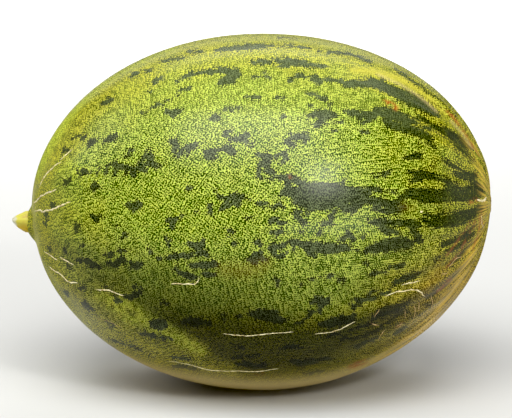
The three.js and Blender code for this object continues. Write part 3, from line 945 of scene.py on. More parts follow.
@dataclass(frozen=True)
class WaxyMottledRind:
    """A melon's living skin under thin wax: a fine maze of light cells over dark green, half glossy."""

    cell: str = "#BCC858"
    # The warm pair is partly painted rim light, where the skin turns from facing front or back.
    cell_warm: str = "#C8C23C"
    cell_green: str = "#98B440"
    cell_brown: str = "#CEAE3E"
    ground: str = "#284004"
    ground_warm: str = "#444A00"
    # The pale ground and the pale blotches are partly painted sheen on the top of the fruit.
    ground_pale: str = "#6E7A36"
    ground_lime: str = "#78841A"
    ground_brown: str = "#382C06"
    blotch_cell: str = "#606A44"
    blotch_ground: str = "#1C220C"
    blotch_olive: str = "#465018"
    blotch_deep: str = "#1C2006"
    # Painted sheen on the top dulls the blotches towards this.
    blotch_pale: str = "#6C7850"
    # Lime cells; along the upper-left outline they are painted rim light, and in two dabs on the girth
    # painted highlights.
    lime: str = "#D0DA50"
    fold: str = "#BCB444"
    # Tan of the blossom end, also painted as rim light along the lower right outline.
    tan: str = "#E2BC48"
    # The pale underside, the skin's ground spot made paler still as painted bounce light, and pale lines
    # along the fold.
    bleached: str = "#C8B480"
    haze: str = "#7A5218"
    rust: str = "#96582A"
    # Painted highlight: the pale ring on the shoulder around the stem.
    collar_highlight: str = "#C8C274"
    scar: str = "#A08A55"
    shaded: str = "#0B0C02"
    maze_mm: float = 1.45  # from one light cell to the next, as in life
    maze_wander_mm: float = 3.4
    maze_push: float = 4.4  # how far the maze is pushed about, against the spacing of its cells
    maze_turn: tuple[float, float, float] = (0.6, 0.9, 0.35)  # so that no wave lies along the fruit
    broad_mm: float = 26.0  # the spacing of the warmer and the greener parts
    patch_mm: float = 9.0  # the spacing of the patches where the cells run together
    speckle_mm: float = 2.6  # the spacing of the odd greener or brighter cell
    fine_mm: float = 1.9
    edge_mm: float = 4.6  # the spacing of the teeth on a blotch's edge
    long_edge_mm: float = 4.0  # the same near the blossom, where they lie along the fruit
    streak_mm: float = 4.2
    tooth_mm: float = 0.5  # how far a blotch's edge moves with each cell
    ragged_mm: float = 4.4  # how far it moves with the broader noise
    roughness: float = 0.27
    wax_ior: float = 1.45
    wax_sheen: float = 0.28
    cell_rise_mm: float = 0.05

    def maze(self, add: Adder, place: Socket) -> Socket:
        """Adds the maze: a wandering sponge of waves, whose walls the skin cuts as worms of even width.

        Args:
            add: Adds a node to the material.
            place: The point in metres.

        Returns:
            A height from about -1.5 to 1.5, above 0 on the light cells.
        """
        sponge_mm = 0.92 * self.maze_mm
        per_metre = 2.0 * math.pi / (sponge_mm * MM)
        broad = {"Vector": place, "Scale": lumps_every(2.0 * self.maze_wander_mm)}
        wander = add("ShaderNodeTexNoise", broad, out=1)
        turned = add("ShaderNodeMapping", {"Vector": place, "Rotation": self.maze_turn})
        waves = add("ShaderNodeVectorMath", {0: turned, "Scale": per_metre}, operation="SCALE")
        strength = self.maze_push * per_metre * self.maze_mm * MM / 2.0
        pushed = {0: wander, 1: (strength,) * 3, 2: waves}
        waves = add("ShaderNodeVectorMath", pushed, operation="MULTIPLY_ADD")
        sides = [add("ShaderNodeSeparateXYZ", {0: waves}, out=i) for i in (1, 2, 0)]
        swapped = add("ShaderNodeCombineXYZ", {i: side for i, side in enumerate(sides)})
        sines = add("ShaderNodeVectorMath", {0: waves}, operation="SINE")
        cosines = add("ShaderNodeVectorMath", {0: swapped}, operation="COSINE")
        return add("ShaderNodeVectorMath", {0: sines, 1: cosines}, out="Value", operation="DOT_PRODUCT")

    def blotch(self, add: Adder, maze: Socket, edge: Socket, distance: Socket, torn: Socket) -> Socket:
        """Adds the blotches, whose ragged edges follow the cells.

        Args:
            add: Adds a node to the material.
            maze: The maze's height.
            edge: A broader noise, from 0 to 1.
            distance: How far outside the nearest blotch the skin lies, in millimetres.
            torn: How far the edges are torn, from 0 to 1.

        Returns:
            1 in a blotch and 0 outside.
        """
        swing = add("ShaderNodeMath", {0: torn, 1: 0.15, 2: self.tooth_mm}, operation="MULTIPLY_ADD")
        wider = add("ShaderNodeMath", {0: torn, 1: -0.35, 2: distance}, operation="MULTIPLY_ADD")
        by_cell = add("ShaderNodeMath", {0: maze, 1: swing, 2: wider}, operation="MULTIPLY_ADD")
        reach = add("ShaderNodeMath", {0: torn, 1: 1.8, 2: self.ragged_mm}, operation="MULTIPLY_ADD")
        lean = add("ShaderNodeMath", {0: edge, 1: 0.5}, operation="SUBTRACT")
        ragged = add("ShaderNodeMath", {0: lean, 1: reach, 2: by_cell}, operation="MULTIPLY_ADD")
        return add("ShaderNodeMapRange", {"Value": ragged, "From Min": 0.75, "From Max": 0.35}, **SOFT)

    def cells(self, add: Adder, maze: Socket, patch: Socket, fine: Socket, sparse: Socket) -> Socket:
        """Adds the light cells, which run together in some patches and part in others.

        Args:
            add: Adds a node to the material.
            maze: The maze's height.
            patch: A broad noise, from 0 to 1.
            fine: A noise about as fine as the cells, from 0 to 1.
            sparse: Where the cells are small and far apart.

        Returns:
            Up to 1 on a light cell and 0 on the dark ground.
        """
        raised = add("ShaderNodeMath", {0: patch, 1: 1.5, 2: maze}, operation="MULTIPLY_ADD")
        raised = add("ShaderNodeMath", {0: sparse, 1: -0.25, 2: raised}, operation="MULTIPLY_ADD")
        edges = {"Value": raised, "From Min": 0.38, "From Max": 1.22}
        cells = add("ShaderNodeMapRange", edges, **SOFT)
        spread = {"Value": fine, "From Min": 0.3, "From Max": 0.62, "To Min": 0.4, "To Max": 1.0}
        varied = add("ShaderNodeMapRange", spread)
        return add("ShaderNodeMath", {0: cells, 1: varied}, operation="MULTIPLY")

    def plain_colour(
        self,
        add: Adder,
        cells: Socket,
        hue: Socket,
        warmth: Socket,
        brown: Socket,
        lime: Socket,
        pale: Socket,
    ) -> Socket:
        """Adds the colour outside the blotches.

        Args:
            add: Adds a node to the material.
            cells: The light cells.
            hue: How green a cell is beside its neighbours.
            warmth: How far the greens turn to yellow, partly as painted rim light.
            brown: How far they turn to brown.
            lime: Where the light cells run to a bright lime, partly painted rim light and painted
                highlight.
            pale: Where the dark ground is paler: painted sheen on the top, and paler, duller skin at the
                stem end.

        Returns:
            The colour.
        """
        cell_tints = (
            (hue, self.cell_green),
            (warmth, self.cell_warm),
            (brown, self.cell_brown),
            (lime, self.lime),
        )
        ground_tints = (
            (warmth, self.ground_warm),
            (brown, self.ground_brown),
            (pale, self.ground_pale),
            (lime, self.ground_lime),
        )
        light, dark = linear(self.cell), linear(self.ground)
        for strength, tint in cell_tints:
            light = add("ShaderNodeMix", {0: strength, 6: light, 7: linear(tint)}, **COLOUR_MIX)
        for strength, tint in ground_tints:
            dark = add("ShaderNodeMix", {0: strength, 6: dark, 7: linear(tint)}, **COLOUR_MIX)
        return add("ShaderNodeMix", {0: cells, 6: dark, 7: light}, **COLOUR_MIX)

    def blotch_colour(self, add: Adder, cells: Socket, olive: Socket, pale: Socket) -> Socket:
        """Adds the colour inside the blotches.

        Args:
            add: Adds a node to the material.
            cells: The light cells.
            olive: Where the blotches are olive, and grey elsewhere.
            pale: Where the skin is paler: painted sheen on the top, and paler, duller skin at the stem
                end.

        Returns:
            The colour.
        """
        greys = {0: cells, 6: linear(self.blotch_ground), 7: linear(self.blotch_cell)}
        olives = {0: cells, 6: linear(self.blotch_deep), 7: linear(self.blotch_olive)}
        sides = [add("ShaderNodeMix", shades, **COLOUR_MIX) for shades in (greys, olives)]
        colour = add("ShaderNodeMix", {0: olive, 6: sides[0], 7: sides[1]}, **COLOUR_MIX)
        dull = add("ShaderNodeMath", {0: pale, 1: 0.4}, operation="MULTIPLY")
        return add("ShaderNodeMix", {0: dull, 6: colour, 7: linear(self.blotch_pale)}, **COLOUR_MIX)

    def material(self) -> bpy.types.Material:
        """Builds the finish.

        Returns:
            The material, which reads Object coordinates and the skin's attributes.
        """
        material = empty_material("waxy mottled melon rind")
        add = partial(add_node, material.node_tree)
        mask = {name: add("ShaderNodeAttribute", out="Fac", attribute_name=name) for name in SKIN_MASKS}
        grain = add("ShaderNodeAttribute", out="Vector", attribute_name="grain")
        place = add("ShaderNodeTexCoord", out="Object")
        noises = (
            (place, self.broad_mm, 2.0),
            (place, self.patch_mm, 1.0),
            (place, self.edge_mm, 2.0),
            (grain, self.long_edge_mm / MM, 3.0),  # the grain is in millimetres already
            (grain, self.streak_mm / MM, 1.5),
            (place, self.fine_mm, 1.0),
            (place, self.speckle_mm, 2.0),
        )
        broad, patch, round_edge, long_edge, streak, fine, speckle = (
            add("ShaderNodeTexNoise", {"Vector": at, "Scale": lumps_every(period), "Detail": detail})
            for at, period, detail in noises
        )
        maze = self.maze(add, place)
        cells = self.cells(add, maze, patch, fine, mask["blossom"])
        edge = add("ShaderNodeMix", {0: mask["blossom"], 2: round_edge, 3: long_edge})
        blotch = self.blotch(add, maze, edge, mask["blotch"], mask["blossom"])
        bright = {"Value": speckle, "From Min": 0.58, "From Max": 0.66, "To Max": 0.4}
        lone = add("ShaderNodeMapRange", bright, **SOFT)
        lone = add("ShaderNodeMath", {0: lone, 1: cells}, operation="MULTIPLY")
        lone = add("ShaderNodeMath", {0: lone, 1: mask["blossom"]}, operation="MULTIPLY")
        blotch = add("ShaderNodeMath", {0: blotch, 1: lone}, operation="SUBTRACT", use_clamp=True)
        warmth = add("ShaderNodeMath", {0: broad, 1: 0.8, 2: mask["warm"]}, operation="MULTIPLY_ADD")
        warmth = add("ShaderNodeMapRange", {"Value": warmth, "From Min": 0.38, "From Max": 1.4}, **SOFT)
        greener = {"Value": speckle, "From Min": 0.45, "From Max": 0.7, "To Max": 0.75}
        hue = add("ShaderNodeMapRange", greener)
        torn = add("ShaderNodeMath", {0: round_edge, 1: 4.0, 2: mask["lime"]}, operation="MULTIPLY_ADD")
        patches = {"Value": torn, "From Min": 2.5, "From Max": 3.3, "To Max": 0.6}
        lime_and_rim_light = add("ShaderNodeMapRange", patches, **SOFT)
        # The rim places add painted rim light to the lime.
        lime_and_rim_light = add("ShaderNodeMath", {0: lime_and_rim_light, 1: mask["clear"]}, operation="MAXIMUM")
        plain = self.plain_colour(add, cells, hue, warmth, mask["brown"], lime_and_rim_light, mask["pale"])
        folded = {0: mask["band"], 6: plain, 7: linear(self.fold)}
        plain = add("ShaderNodeMix", folded, **COLOUR_MIX)
        dim = self.blotch_colour(add, cells, mask["olive"], mask["pale"])
        colour = add("ShaderNodeMix", {0: blotch, 6: plain, 7: dim}, **COLOUR_MIX)

        streaks = add("ShaderNodeMapRange", {"Value": streak, "From Min": 0.38, "From Max": 0.6}, **SOFT)
        # The tan is partly painted rim light, along the lower right outline.
        tan_and_rim_light = add("ShaderNodeMath", {0: mask["tan"], 1: streaks}, operation="MULTIPLY")
        spots = {"Value": round_edge, "From Min": 0.38, "From Max": 0.55}
        spots = add("ShaderNodeMapRange", spots, **SOFT)
        rusty = add("ShaderNodeMath", {0: mask["rust"], 1: spots}, operation="MULTIPLY")
        # The collar ring is a painted highlight, broken up by a broad noise.
        patchy = {"Value": patch, "From Min": 0.35, "From Max": 0.6, "To Min": 0.3}
        patchy = add("ShaderNodeMapRange", patchy)
        ring = add("ShaderNodeMath", {0: mask["collar_highlight"], 1: patchy}, operation="MULTIPLY")
        tints = (
            (tan_and_rim_light, self.tan),
            (mask["hazy"], self.haze),
            (mask["bleached"], self.bleached),
            (rusty, self.rust),
            (ring, self.collar_highlight),
            (mask["scar"], self.scar),
            (mask["shade"], self.shaded),
        )
        for strength, tint in tints:
            colour = add("ShaderNodeMix", {0: strength, 6: colour, 7: linear(tint)}, **COLOUR_MIX)

        height = add("ShaderNodeMath", {0: cells, 1: 0.7, 2: fine}, operation="MULTIPLY_ADD")
        rise = {"Height": height, "Strength": 0.6, "Distance": self.cell_rise_mm * MM}
        rough = add("ShaderNodeMath", {0: cells, 1: 0.06, 2: self.roughness}, operation="MULTIPLY_ADD")
        rough = add("ShaderNodeMath", {0: mask["matt"], 1: 0.35, 2: rough}, operation="MULTIPLY_ADD")
        skin = {
            "Base Color": colour,
            "Roughness": rough,
            "Normal": add("ShaderNodeBump", rise),
            "IOR": self.wax_ior,
            "Specular IOR Level": self.wax_sheen,
        }
        add("ShaderNodeOutputMaterial", {"Surface": add("ShaderNodeBsdfPrincipled", skin)})
        return material


@dataclass(frozen=True)
class DryCork:
    """Cork that closed a growth crack: dead, dry and matt, so it stays pale beside the waxy skin."""

    name: str = "dry pale cork"
    pale: str = "#E8DEB2"
    dark: str = "#A48C52"
    grain_mm: float = 2.4
    roughness: float = 0.8

    def material(self) -> bpy.types.Material:
        """Builds the finish and returns the material, which reads Object coordinates."""
        material = empty_material(self.name)
        add = partial(add_node, material.node_tree)
        place = add("ShaderNodeTexCoord", out="Object")
        lumps = {"Vector": place, "Scale": lumps_every(self.grain_mm), "Detail": 2.0}
        grain = add("ShaderNodeTexNoise", lumps)
        paler = add("ShaderNodeMapRange", {"Value": grain, "From Min": 0.3, "From Max": 0.55})
        shades = {0: paler, 6: linear(self.dark), 7: linear(self.pale)}
        rise = {"Height": grain, "Strength": 0.5, "Distance": 0.1 * MM}
        cork = {
            "Base Color": add("ShaderNodeMix", shades, **COLOUR_MIX),
            "Roughness": self.roughness,
            "Normal": add("ShaderNodeBump", rise),
        }
        add("ShaderNodeOutputMaterial", {"Surface": add("ShaderNodeBsdfPrincipled", cork)})
        return material


@dataclass(frozen=True)
class FleshyStem:
    """A stem stub that is drying: yellow flesh with brown streaks along it and a pale torn tip."""

    flesh: str = "#C4BC48"
    streak: str = "#BCA450"
    amber: str = "#B89C20"
    tip: str = "#C4C2A4"
    streak_mm: float = 2.6
    roughness: float = 0.5

    def material(self) -> bpy.types.Material:
        """Builds the finish and returns the material, which also reads two attributes of the stub."""
        material = empty_material("drying yellow stem flesh")
        add = partial(add_node, material.node_tree)
        place = add("ShaderNodeTexCoord", out="Object")
        drawn = add("ShaderNodeMapping", {"Vector": place, "Scale": (0.22, 1.0, 1.0)})
        lumps = {"Vector": drawn, "Scale": lumps_every(self.streak_mm), "Detail": 2.0}
        grain = add("ShaderNodeTexNoise", lumps)
        share = add("ShaderNodeMapRange", {"Value": grain, "From Min": 0.5, "From Max": 0.72}, **SOFT)
        shades = {0: share, 6: linear(self.flesh), 7: linear(self.streak)}
        colour = add("ShaderNodeMix", shades, **COLOUR_MIX)
        amber = add("ShaderNodeAttribute", out="Fac", attribute_name="amber")
        colour = add("ShaderNodeMix", {0: amber, 6: colour, 7: linear(self.amber)}, **COLOUR_MIX)
        tip = add("ShaderNodeAttribute", out="Fac", attribute_name="tip")
        stem = {
            "Base Color": add("ShaderNodeMix", {0: tip, 6: colour, 7: linear(self.tip)}, **COLOUR_MIX),
            "Roughness": self.roughness,
            "Normal": add("ShaderNodeBump", {"Height": grain, "Strength": 0.6, "Distance": 0.25 * MM}),
        }
        add("ShaderNodeOutputMaterial", {"Surface": add("ShaderNodeBsdfPrincipled", stem)})
        return material


@dataclass(frozen=True)
class MattStudioBoard:
    """A pale grey matt board, which strong light takes nearly to white: it shows only soft shadow."""

    white: str = "#CACAC7"
    patchy: str = "#C6C6C3"
    mottle_mm: float = 500.0
    roughness: float = 0.9

    def material(self) -> bpy.types.Material:
        """Builds the finish and returns the material, which reads Object coordinates."""
        material = empty_material("matt studio board")
        add = partial(add_node, material.node_tree)
        place = add("ShaderNodeTexCoord", out="Object")
        mottle = add("ShaderNodeTexNoise", {"Vector": place, "Scale": lumps_every(self.mottle_mm)})
        whites = {0: mottle, 6: linear(self.patchy), 7: linear(self.white)}
        board = {
            "Base Color": add("ShaderNodeMix", whites, **COLOUR_MIX),
            "Roughness": self.roughness,
        }
        add("ShaderNodeOutputMaterial", {"Surface": add("ShaderNodeBsdfPrincipled", board)})
        return material


def finished(name: str, mesh: bpy.types.Mesh, material: bpy.types.Material) -> bpy.types.Object:
    """Makes an object of a mesh that is already in place, smooth and dressed.

    Args:
        name: The piece's name.
        mesh: Its mesh, in metres in the part's frame.
        material: Its finish.

    Returns:
        The object, at the origin.
    """
    mesh.materials.append(material)
    mesh.polygons.foreach_set("use_smooth", np.ones(len(mesh.polygons), dtype=bool))
    piece = bpy.data.objects.new(name, mesh)
    bpy.context.scene.collection.objects.link(piece)
    return piece


def add_numbers(mesh: bpy.types.Mesh, name: str, values: Array) -> None:
    """Stores one number, or one vector, at each vertex of a mesh.

    Args:
        mesh: The mesh.
        name: The attribute's name.
        values: One row for each vertex.
    """
    is_vector = values.ndim == 2
    attribute = mesh.attributes.new(name, "FLOAT_VECTOR" if is_vector else "FLOAT", "POINT")
    attribute.data.foreach_set("vector" if is_vector else "value", values.astype(np.float32).ravel())


@dataclass(frozen=True)
class SkinZones:
    """Where the skin's broad tints start, and where each is full.

    "along" is in millimetres from the middle towards the blossom, "up" in millimetres over the middle and
    "out" in millimetres from the blossom scar. "upright" says how far the skin faces up, and "sideways"
    how far it faces the front or the back; both are 1 at most.
    """

    low_up: Span = (0.0, -45.0)
    late_along: Span = (35.0, 100.0)
    end_along: Span = (106.0, 114.0)
    blossom_along: Span = (30.0, 95.0)
    olive_stem_along: Span = (-45.0, -85.0)
    foot_upright: Span = (-0.72, -0.88)
    # The flank zones and the dimmed zone place painted shade.
    flank_rise_along: Span = (-20.0, 35.0)
    flank_turned_in: Span = (0.0, 0.5)
    flank_sideways: Span = (0.38, 0.72)
    dimmed_upright: Span = (0.6, 0.0)
    shoulder_along: Span = (-55.0, -98.0)
    shoulder_upright: Span = (-0.3, 0.2)
    butt_along: Span = (-94.0, -108.0)
    # The crown zones place painted sheen on the top.
    crown_upright: Span = (0.5, 0.9)
    crown_along: Span = (-92.0, -60.0)
    # The collar is a painted highlight: a pale ring on the shoulder around the stem.
    collar_along: Span = (-98.0, -106.0)
    collar_radius: float = 18.0
    collar_spread: float = 4.5
    # Where the skin turns from facing front or back it is warmer: partly painted rim light.
    warm_sideways: Span = (0.68, 0.3)
    warm_up: Span = (-10.0, -55.0)
    warm_stem_along: Span = (-45.0, -98.0)
    warm_stem_up: Span = (40.0, 0.0)
    brown_up: Span = (5.0, -42.0)
    brown_belly_up: Span = (-45.0, -80.0)
    scar_out: Span = (6.5, 3.0)
    matt_along: Span = (85.0, 110.0)


@dataclass
class Fruit:
    """The melon itself: its mottled skin, and the cork that closed its cracks."""

    form: FruitForm
    view: PhotoView
    marks: SkinMarks
    middle: Vector
    around: int = 440
    along: int = 218
    cork_step: float = 1.3
    cork_seed: int = 12
    hidden_cracks: int = 14
    zones: SkinZones = field(default_factory=SkinZones)
    rind: WaxyMottledRind = field(default_factory=WaxyMottledRind)
    broad_crack: float = 0.65  # cork at least this wide, in millimetres, is pale
    cork_tube: float = 0.5  # the half width, in millimetres, that a curve point's radius of 1 stands for
    cork_wander: float = 0.22  # how far a crack strays from its route at each step, in millimetres
    cork_sunk: float = 0.55  # how deep the cork's middle lies, as a share of its half width
    cork_thinnest: float = 0.12  # its half width at the ends, as a share of the middle's
    pale_cork: DryCork = field(default_factory=DryCork)
    tan_cork: DryCork = field(default_factory=lambda: DryCork("dry tan cork", "#BCA070", "#80683C"))

    def to_frame(self, points: Array) -> Array:
        """Takes points in millimetres about the middle to metres in the part's frame."""
        return points * MM + np.array(self.middle)

    def ball(self) -> bpy.types.Mesh:
        """Makes a unit ball whose poles lie on X."""
        shape = bmesh.new()
        bmesh.ops.create_uvsphere(shape, u_segments=self.around, v_segments=self.along, radius=1.0)
        onto_x = Matrix.Rotation(math.pi / 2, 3, "Y")
        bmesh.ops.rotate(shape, cent=(0, 0, 0), matrix=onto_x, verts=shape.verts)
        mesh = bpy.data.meshes.new("rind")
        shape.to_mesh(mesh)
        shape.free()
        return mesh

    def skin_attributes(self, mesh: bpy.types.Mesh, points: Array) -> None:
        """Stores what the rind's finish reads at each vertex.

        Args:
            mesh: The skin's mesh, in place.
            points: Its vertices in millimetres about the middle.
        """
        normals = np.empty(len(points) * 3, dtype=np.float32)
        mesh.vertices.foreach_get("normal", normals)
        normals = normals.reshape(-1, 3).astype(float)
        facing = self.view.facing(points, normals)
        along, _, up = points.T
        off, _, _ = self.form.round_axis(points)
        above = up - self.form.axis_height(along)
        turned = np.stack([points[:, 1], above], axis=1) / np.maximum(off, 1e-6)[:, None]
        grain = np.column_stack([self.form.girth_radius * turned, along * 0.2])
        pole = self.form.blossom_pole()
        from_pole = np.linalg.norm(points - pole, axis=1)
        placed = {
            name: strength * self.marks.place(points, facing, strokes, soft)
            for name, (strokes, soft, strength) in PLACED_TINTS.items()
        }
        upright, sideways = normals[:, 2], np.abs(normals[:, 1])
        zones = self.zones
        low = smoothstep(up, *zones.low_up)
        late = smoothstep(along, *zones.late_along)
        end = smoothstep(along, *zones.end_along)
        blossom = smoothstep(along, *zones.blossom_along)
        foot = smoothstep(upright, *zones.foot_upright)
        # Painted shade: the skin is darkened towards near-black on the lower flanks that face the front
        # or the back, less so under the lit and lime places, and a little as it turns from facing up.
        turned_in = 0.05 - upright - 0.1 * smoothstep(along, *zones.flank_rise_along)
        flank_shade = 0.88 * smoothstep(turned_in, *zones.flank_turned_in)
        flank_shade = flank_shade * smoothstep(sideways, *zones.flank_sideways) * (1.0 - foot)
        flank_shade = flank_shade * (1.0 - 0.6 * placed["lime"]) * (1.0 - placed["lit"]) * (1.0 - 0.45 * late)
        dimmed = 0.12 * smoothstep(upright, *zones.dimmed_upright)
        # The crown is painted sheen on the upward-facing skin; the shoulder and the butt make the stem
        # end paler and duller.
        shoulder = smoothstep(along, *zones.shoulder_along) * smoothstep(upright, *zones.shoulder_upright)
        butt = smoothstep(along, *zones.butt_along)
        crown = smoothstep(upright, *zones.crown_upright) * smoothstep(along, *zones.crown_along)
        # The collar is a painted highlight, a pale ring on the shoulder around the stem.
        from_stem = np.hypot(points[:, 1], up + self.form.stem_drop)
        collar_highlight = np.exp(-(((from_stem - zones.collar_radius) / zones.collar_spread) ** 2))
        by_stem = smoothstep(along, *zones.warm_stem_along) * smoothstep(up, *zones.warm_stem_up)
        # Yellower where the skin turns from facing front or back, partly painted rim light; yellower on
        # the underside, the blossom half and by the stem, which is the skin's own colour.
        yellowed = 0.8 * smoothstep(sideways, *zones.warm_sideways)
        yellowed += 0.75 * smoothstep(up, *zones.warm_up) + 0.6 * late + 0.45 * by_stem
        browned = late * smoothstep(up, *zones.brown_up) + 0.35 * smoothstep(up, *zones.brown_belly_up)
        values = {
            "blotch": self.marks.blotches(points, facing),
            "blossom": blossom,
            "warm": yellowed,
            "brown": browned,
            "pale": 0.7 * crown + 0.15 * shoulder + 0.5 * butt,
            "lime": placed["lime"],
            "clear": placed["clear"],
            "band": placed["band"],
            # Tan at the blossom end and low on the blossom half is the skin's own; the placed tan along
            # the lower right outline is painted rim light.
            "tan": np.maximum(0.6 * end + 0.12 * late * low, placed["rim"]),
            "hazy": placed["hazy"],
            "rust": placed["rust"],
            # Paler underneath: the skin's own ground spot, made paler still as painted bounce light; the
            # placed part is pale lines along the fold.
            "bleached": np.maximum(0.9 * foot, placed["bleached"]),
            "collar_highlight": 0.65 * collar_highlight * smoothstep(along, *zones.collar_along),
            "scar": smoothstep(from_pole, *zones.scar_out),
            "shade": 1.0 - (1.0 - flank_shade) * (1.0 - dimmed),
            "matt": smoothstep(np.abs(along), *zones.matt_along) + foot,
            "olive": np.maximum(blossom, 0.75 * smoothstep(along, *zones.olive_stem_along)),
        }
        for name in SKIN_MASKS:
            is_distance = name == "blotch"
            add_numbers(mesh, name, values[name] if is_distance else np.clip(values[name], 0.0, 1.0))
        add_numbers(mesh, "grain", grain)

    def build_rind(self) -> bpy.types.Object:
        """Makes the skin and returns its piece."""
        mesh = self.ball()
        ball = np.empty(len(mesh.vertices) * 3, dtype=np.float32)
        mesh.vertices.foreach_get("co", ball)
        points = self.form.skin(ball.reshape(-1, 3).astype(float))
        mesh.vertices.foreach_set("co", self.to_frame(points).astype(np.float32).ravel())
        mesh.update()
        self.skin_attributes(mesh, points)
        piece = finished("rind", mesh, self.rind.material())
        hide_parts("fruit")
        return piece

    def hidden_routes(self, draw: np.random.Generator) -> list[tuple[float, Array]]:
        """Draws cracks for the far side.

        Args:
            draw: The seeded source of chance.

        Returns:
            Each crack's width in millimetres and its route on the skin.
        """
        routes = []
        for i in range(self.hidden_cracks):
            near_stem = i % 2 == 0
            start = draw.uniform(-0.96, -0.84) if near_stem else draw.uniform(-0.5, 0.85)
            angle = draw.uniform(-1.1, 1.1) if near_stem else draw.uniform(-1.3, -0.5)
            reach = draw.uniform(0.06, 0.2)
            here = start + reach * np.linspace(0.0, 1.0, 5)
            turn = angle + np.cumsum(draw.normal(0.0, 0.03, 5))
            ring = np.sqrt(1.0 - here**2)
            sunk = self.form.axis_tilt * here + self.form.axis_bow * here**2
            ball = np.stack([here, ring * np.cos(turn), ring * np.sin(turn) + sunk], axis=1)
            routes.append((draw.uniform(0.6, 1.1), self.form.towards(ball, fine=True)))
        return routes

    def even_route(self, route: Array) -> Array:
        """Spaces points evenly along a route, on a smooth line through its own.

        Args:
            route: Points on the skin.

        Returns:
            More points, about a cork step apart.
        """
        gaps = np.linalg.norm(np.diff(route, axis=0), axis=1)
        at = np.concatenate([[0.0], np.cumsum(gaps)])
        count = max(5, int(at[-1] / self.cork_step) + 1)
        wanted = np.linspace(0.0, at[-1], count)
        straight = np.stack([np.interp(wanted, at, route[:, i]) for i in range(3)], axis=1)
        for _ in range(3):
            straight[1:-1] = (straight[:-2] + 2.0 * straight[1:-1] + straight[2:]) / 4.0
        return straight

    def build_cork(self, broad: bool) -> bpy.types.Object:
        """Makes the cork in the cracks, as flat ridges that taper to their ends.

        Args:
            broad: Whether to fill the broad cracks, whose cork is pale, or the fine ones.

        Returns:
            The cork's piece.
        """
        draw = np.random.default_rng(self.cork_seed)
        name = "cork_in_broad_cracks" if broad else "cork_in_fine_cracks"
        finish = self.pale_cork if broad else self.tan_cork
        curve = bpy.data.curves.new(name, "CURVE")
        curve.dimensions = "3D"
        curve.bevel_depth = self.cork_tube * MM
        curve.bevel_resolution = 2
        curve.use_fill_caps = True
        routes = [(width, self.view.seen_at(np.array(route), self.form)) for width, route in CRACKS]
        routes += self.hidden_routes(draw)
        for width, route in (pair for pair in routes if (pair[0] >= self.broad_crack) == broad):
            path = self.even_route(route)
            wander = np.cumsum(draw.normal(0.0, self.cork_wander, path.shape), axis=0)
            wander -= np.linspace(0.0, 1.0, len(path))[:, None] * wander[-1]
            skin = self.form.towards(path + wander, fine=True)
            share = np.linspace(-1.0, 1.0, len(skin))
            taper = np.sqrt(np.clip(1.0 - share**4, 0.0, 1.0)) * draw.uniform(0.5, 1.2, len(skin))
            inwards = -skin / np.linalg.norm(skin, axis=1)[:, None]
            half = 0.5 * width * np.maximum(taper, self.cork_thinnest)
            skin = self.form.rest(self.form.scar(self.form.mound(skin)))
            centre = self.to_frame(skin + inwards * (half * self.cork_sunk)[:, None])
            line = curve.splines.new("POLY")
            line.points.add(len(centre) - 1)
            spots = np.column_stack([centre, np.ones(len(centre))])
            line.points.foreach_set("co", spots.astype(np.float32).ravel())
            line.points.foreach_set("radius", (half / self.cork_tube).astype(np.float32))
        maker = bpy.data.objects.new("cork_maker", curve)
        bpy.context.scene.collection.objects.link(maker)
        graph = bpy.context.evaluated_depsgraph_get()
        mesh = bpy.data.meshes.new_from_object(maker.evaluated_get(graph))
        bpy.data.objects.remove(maker)
        mesh.name = name
        piece = finished(name, mesh, finish.material())
        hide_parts("fruit")
        return piece


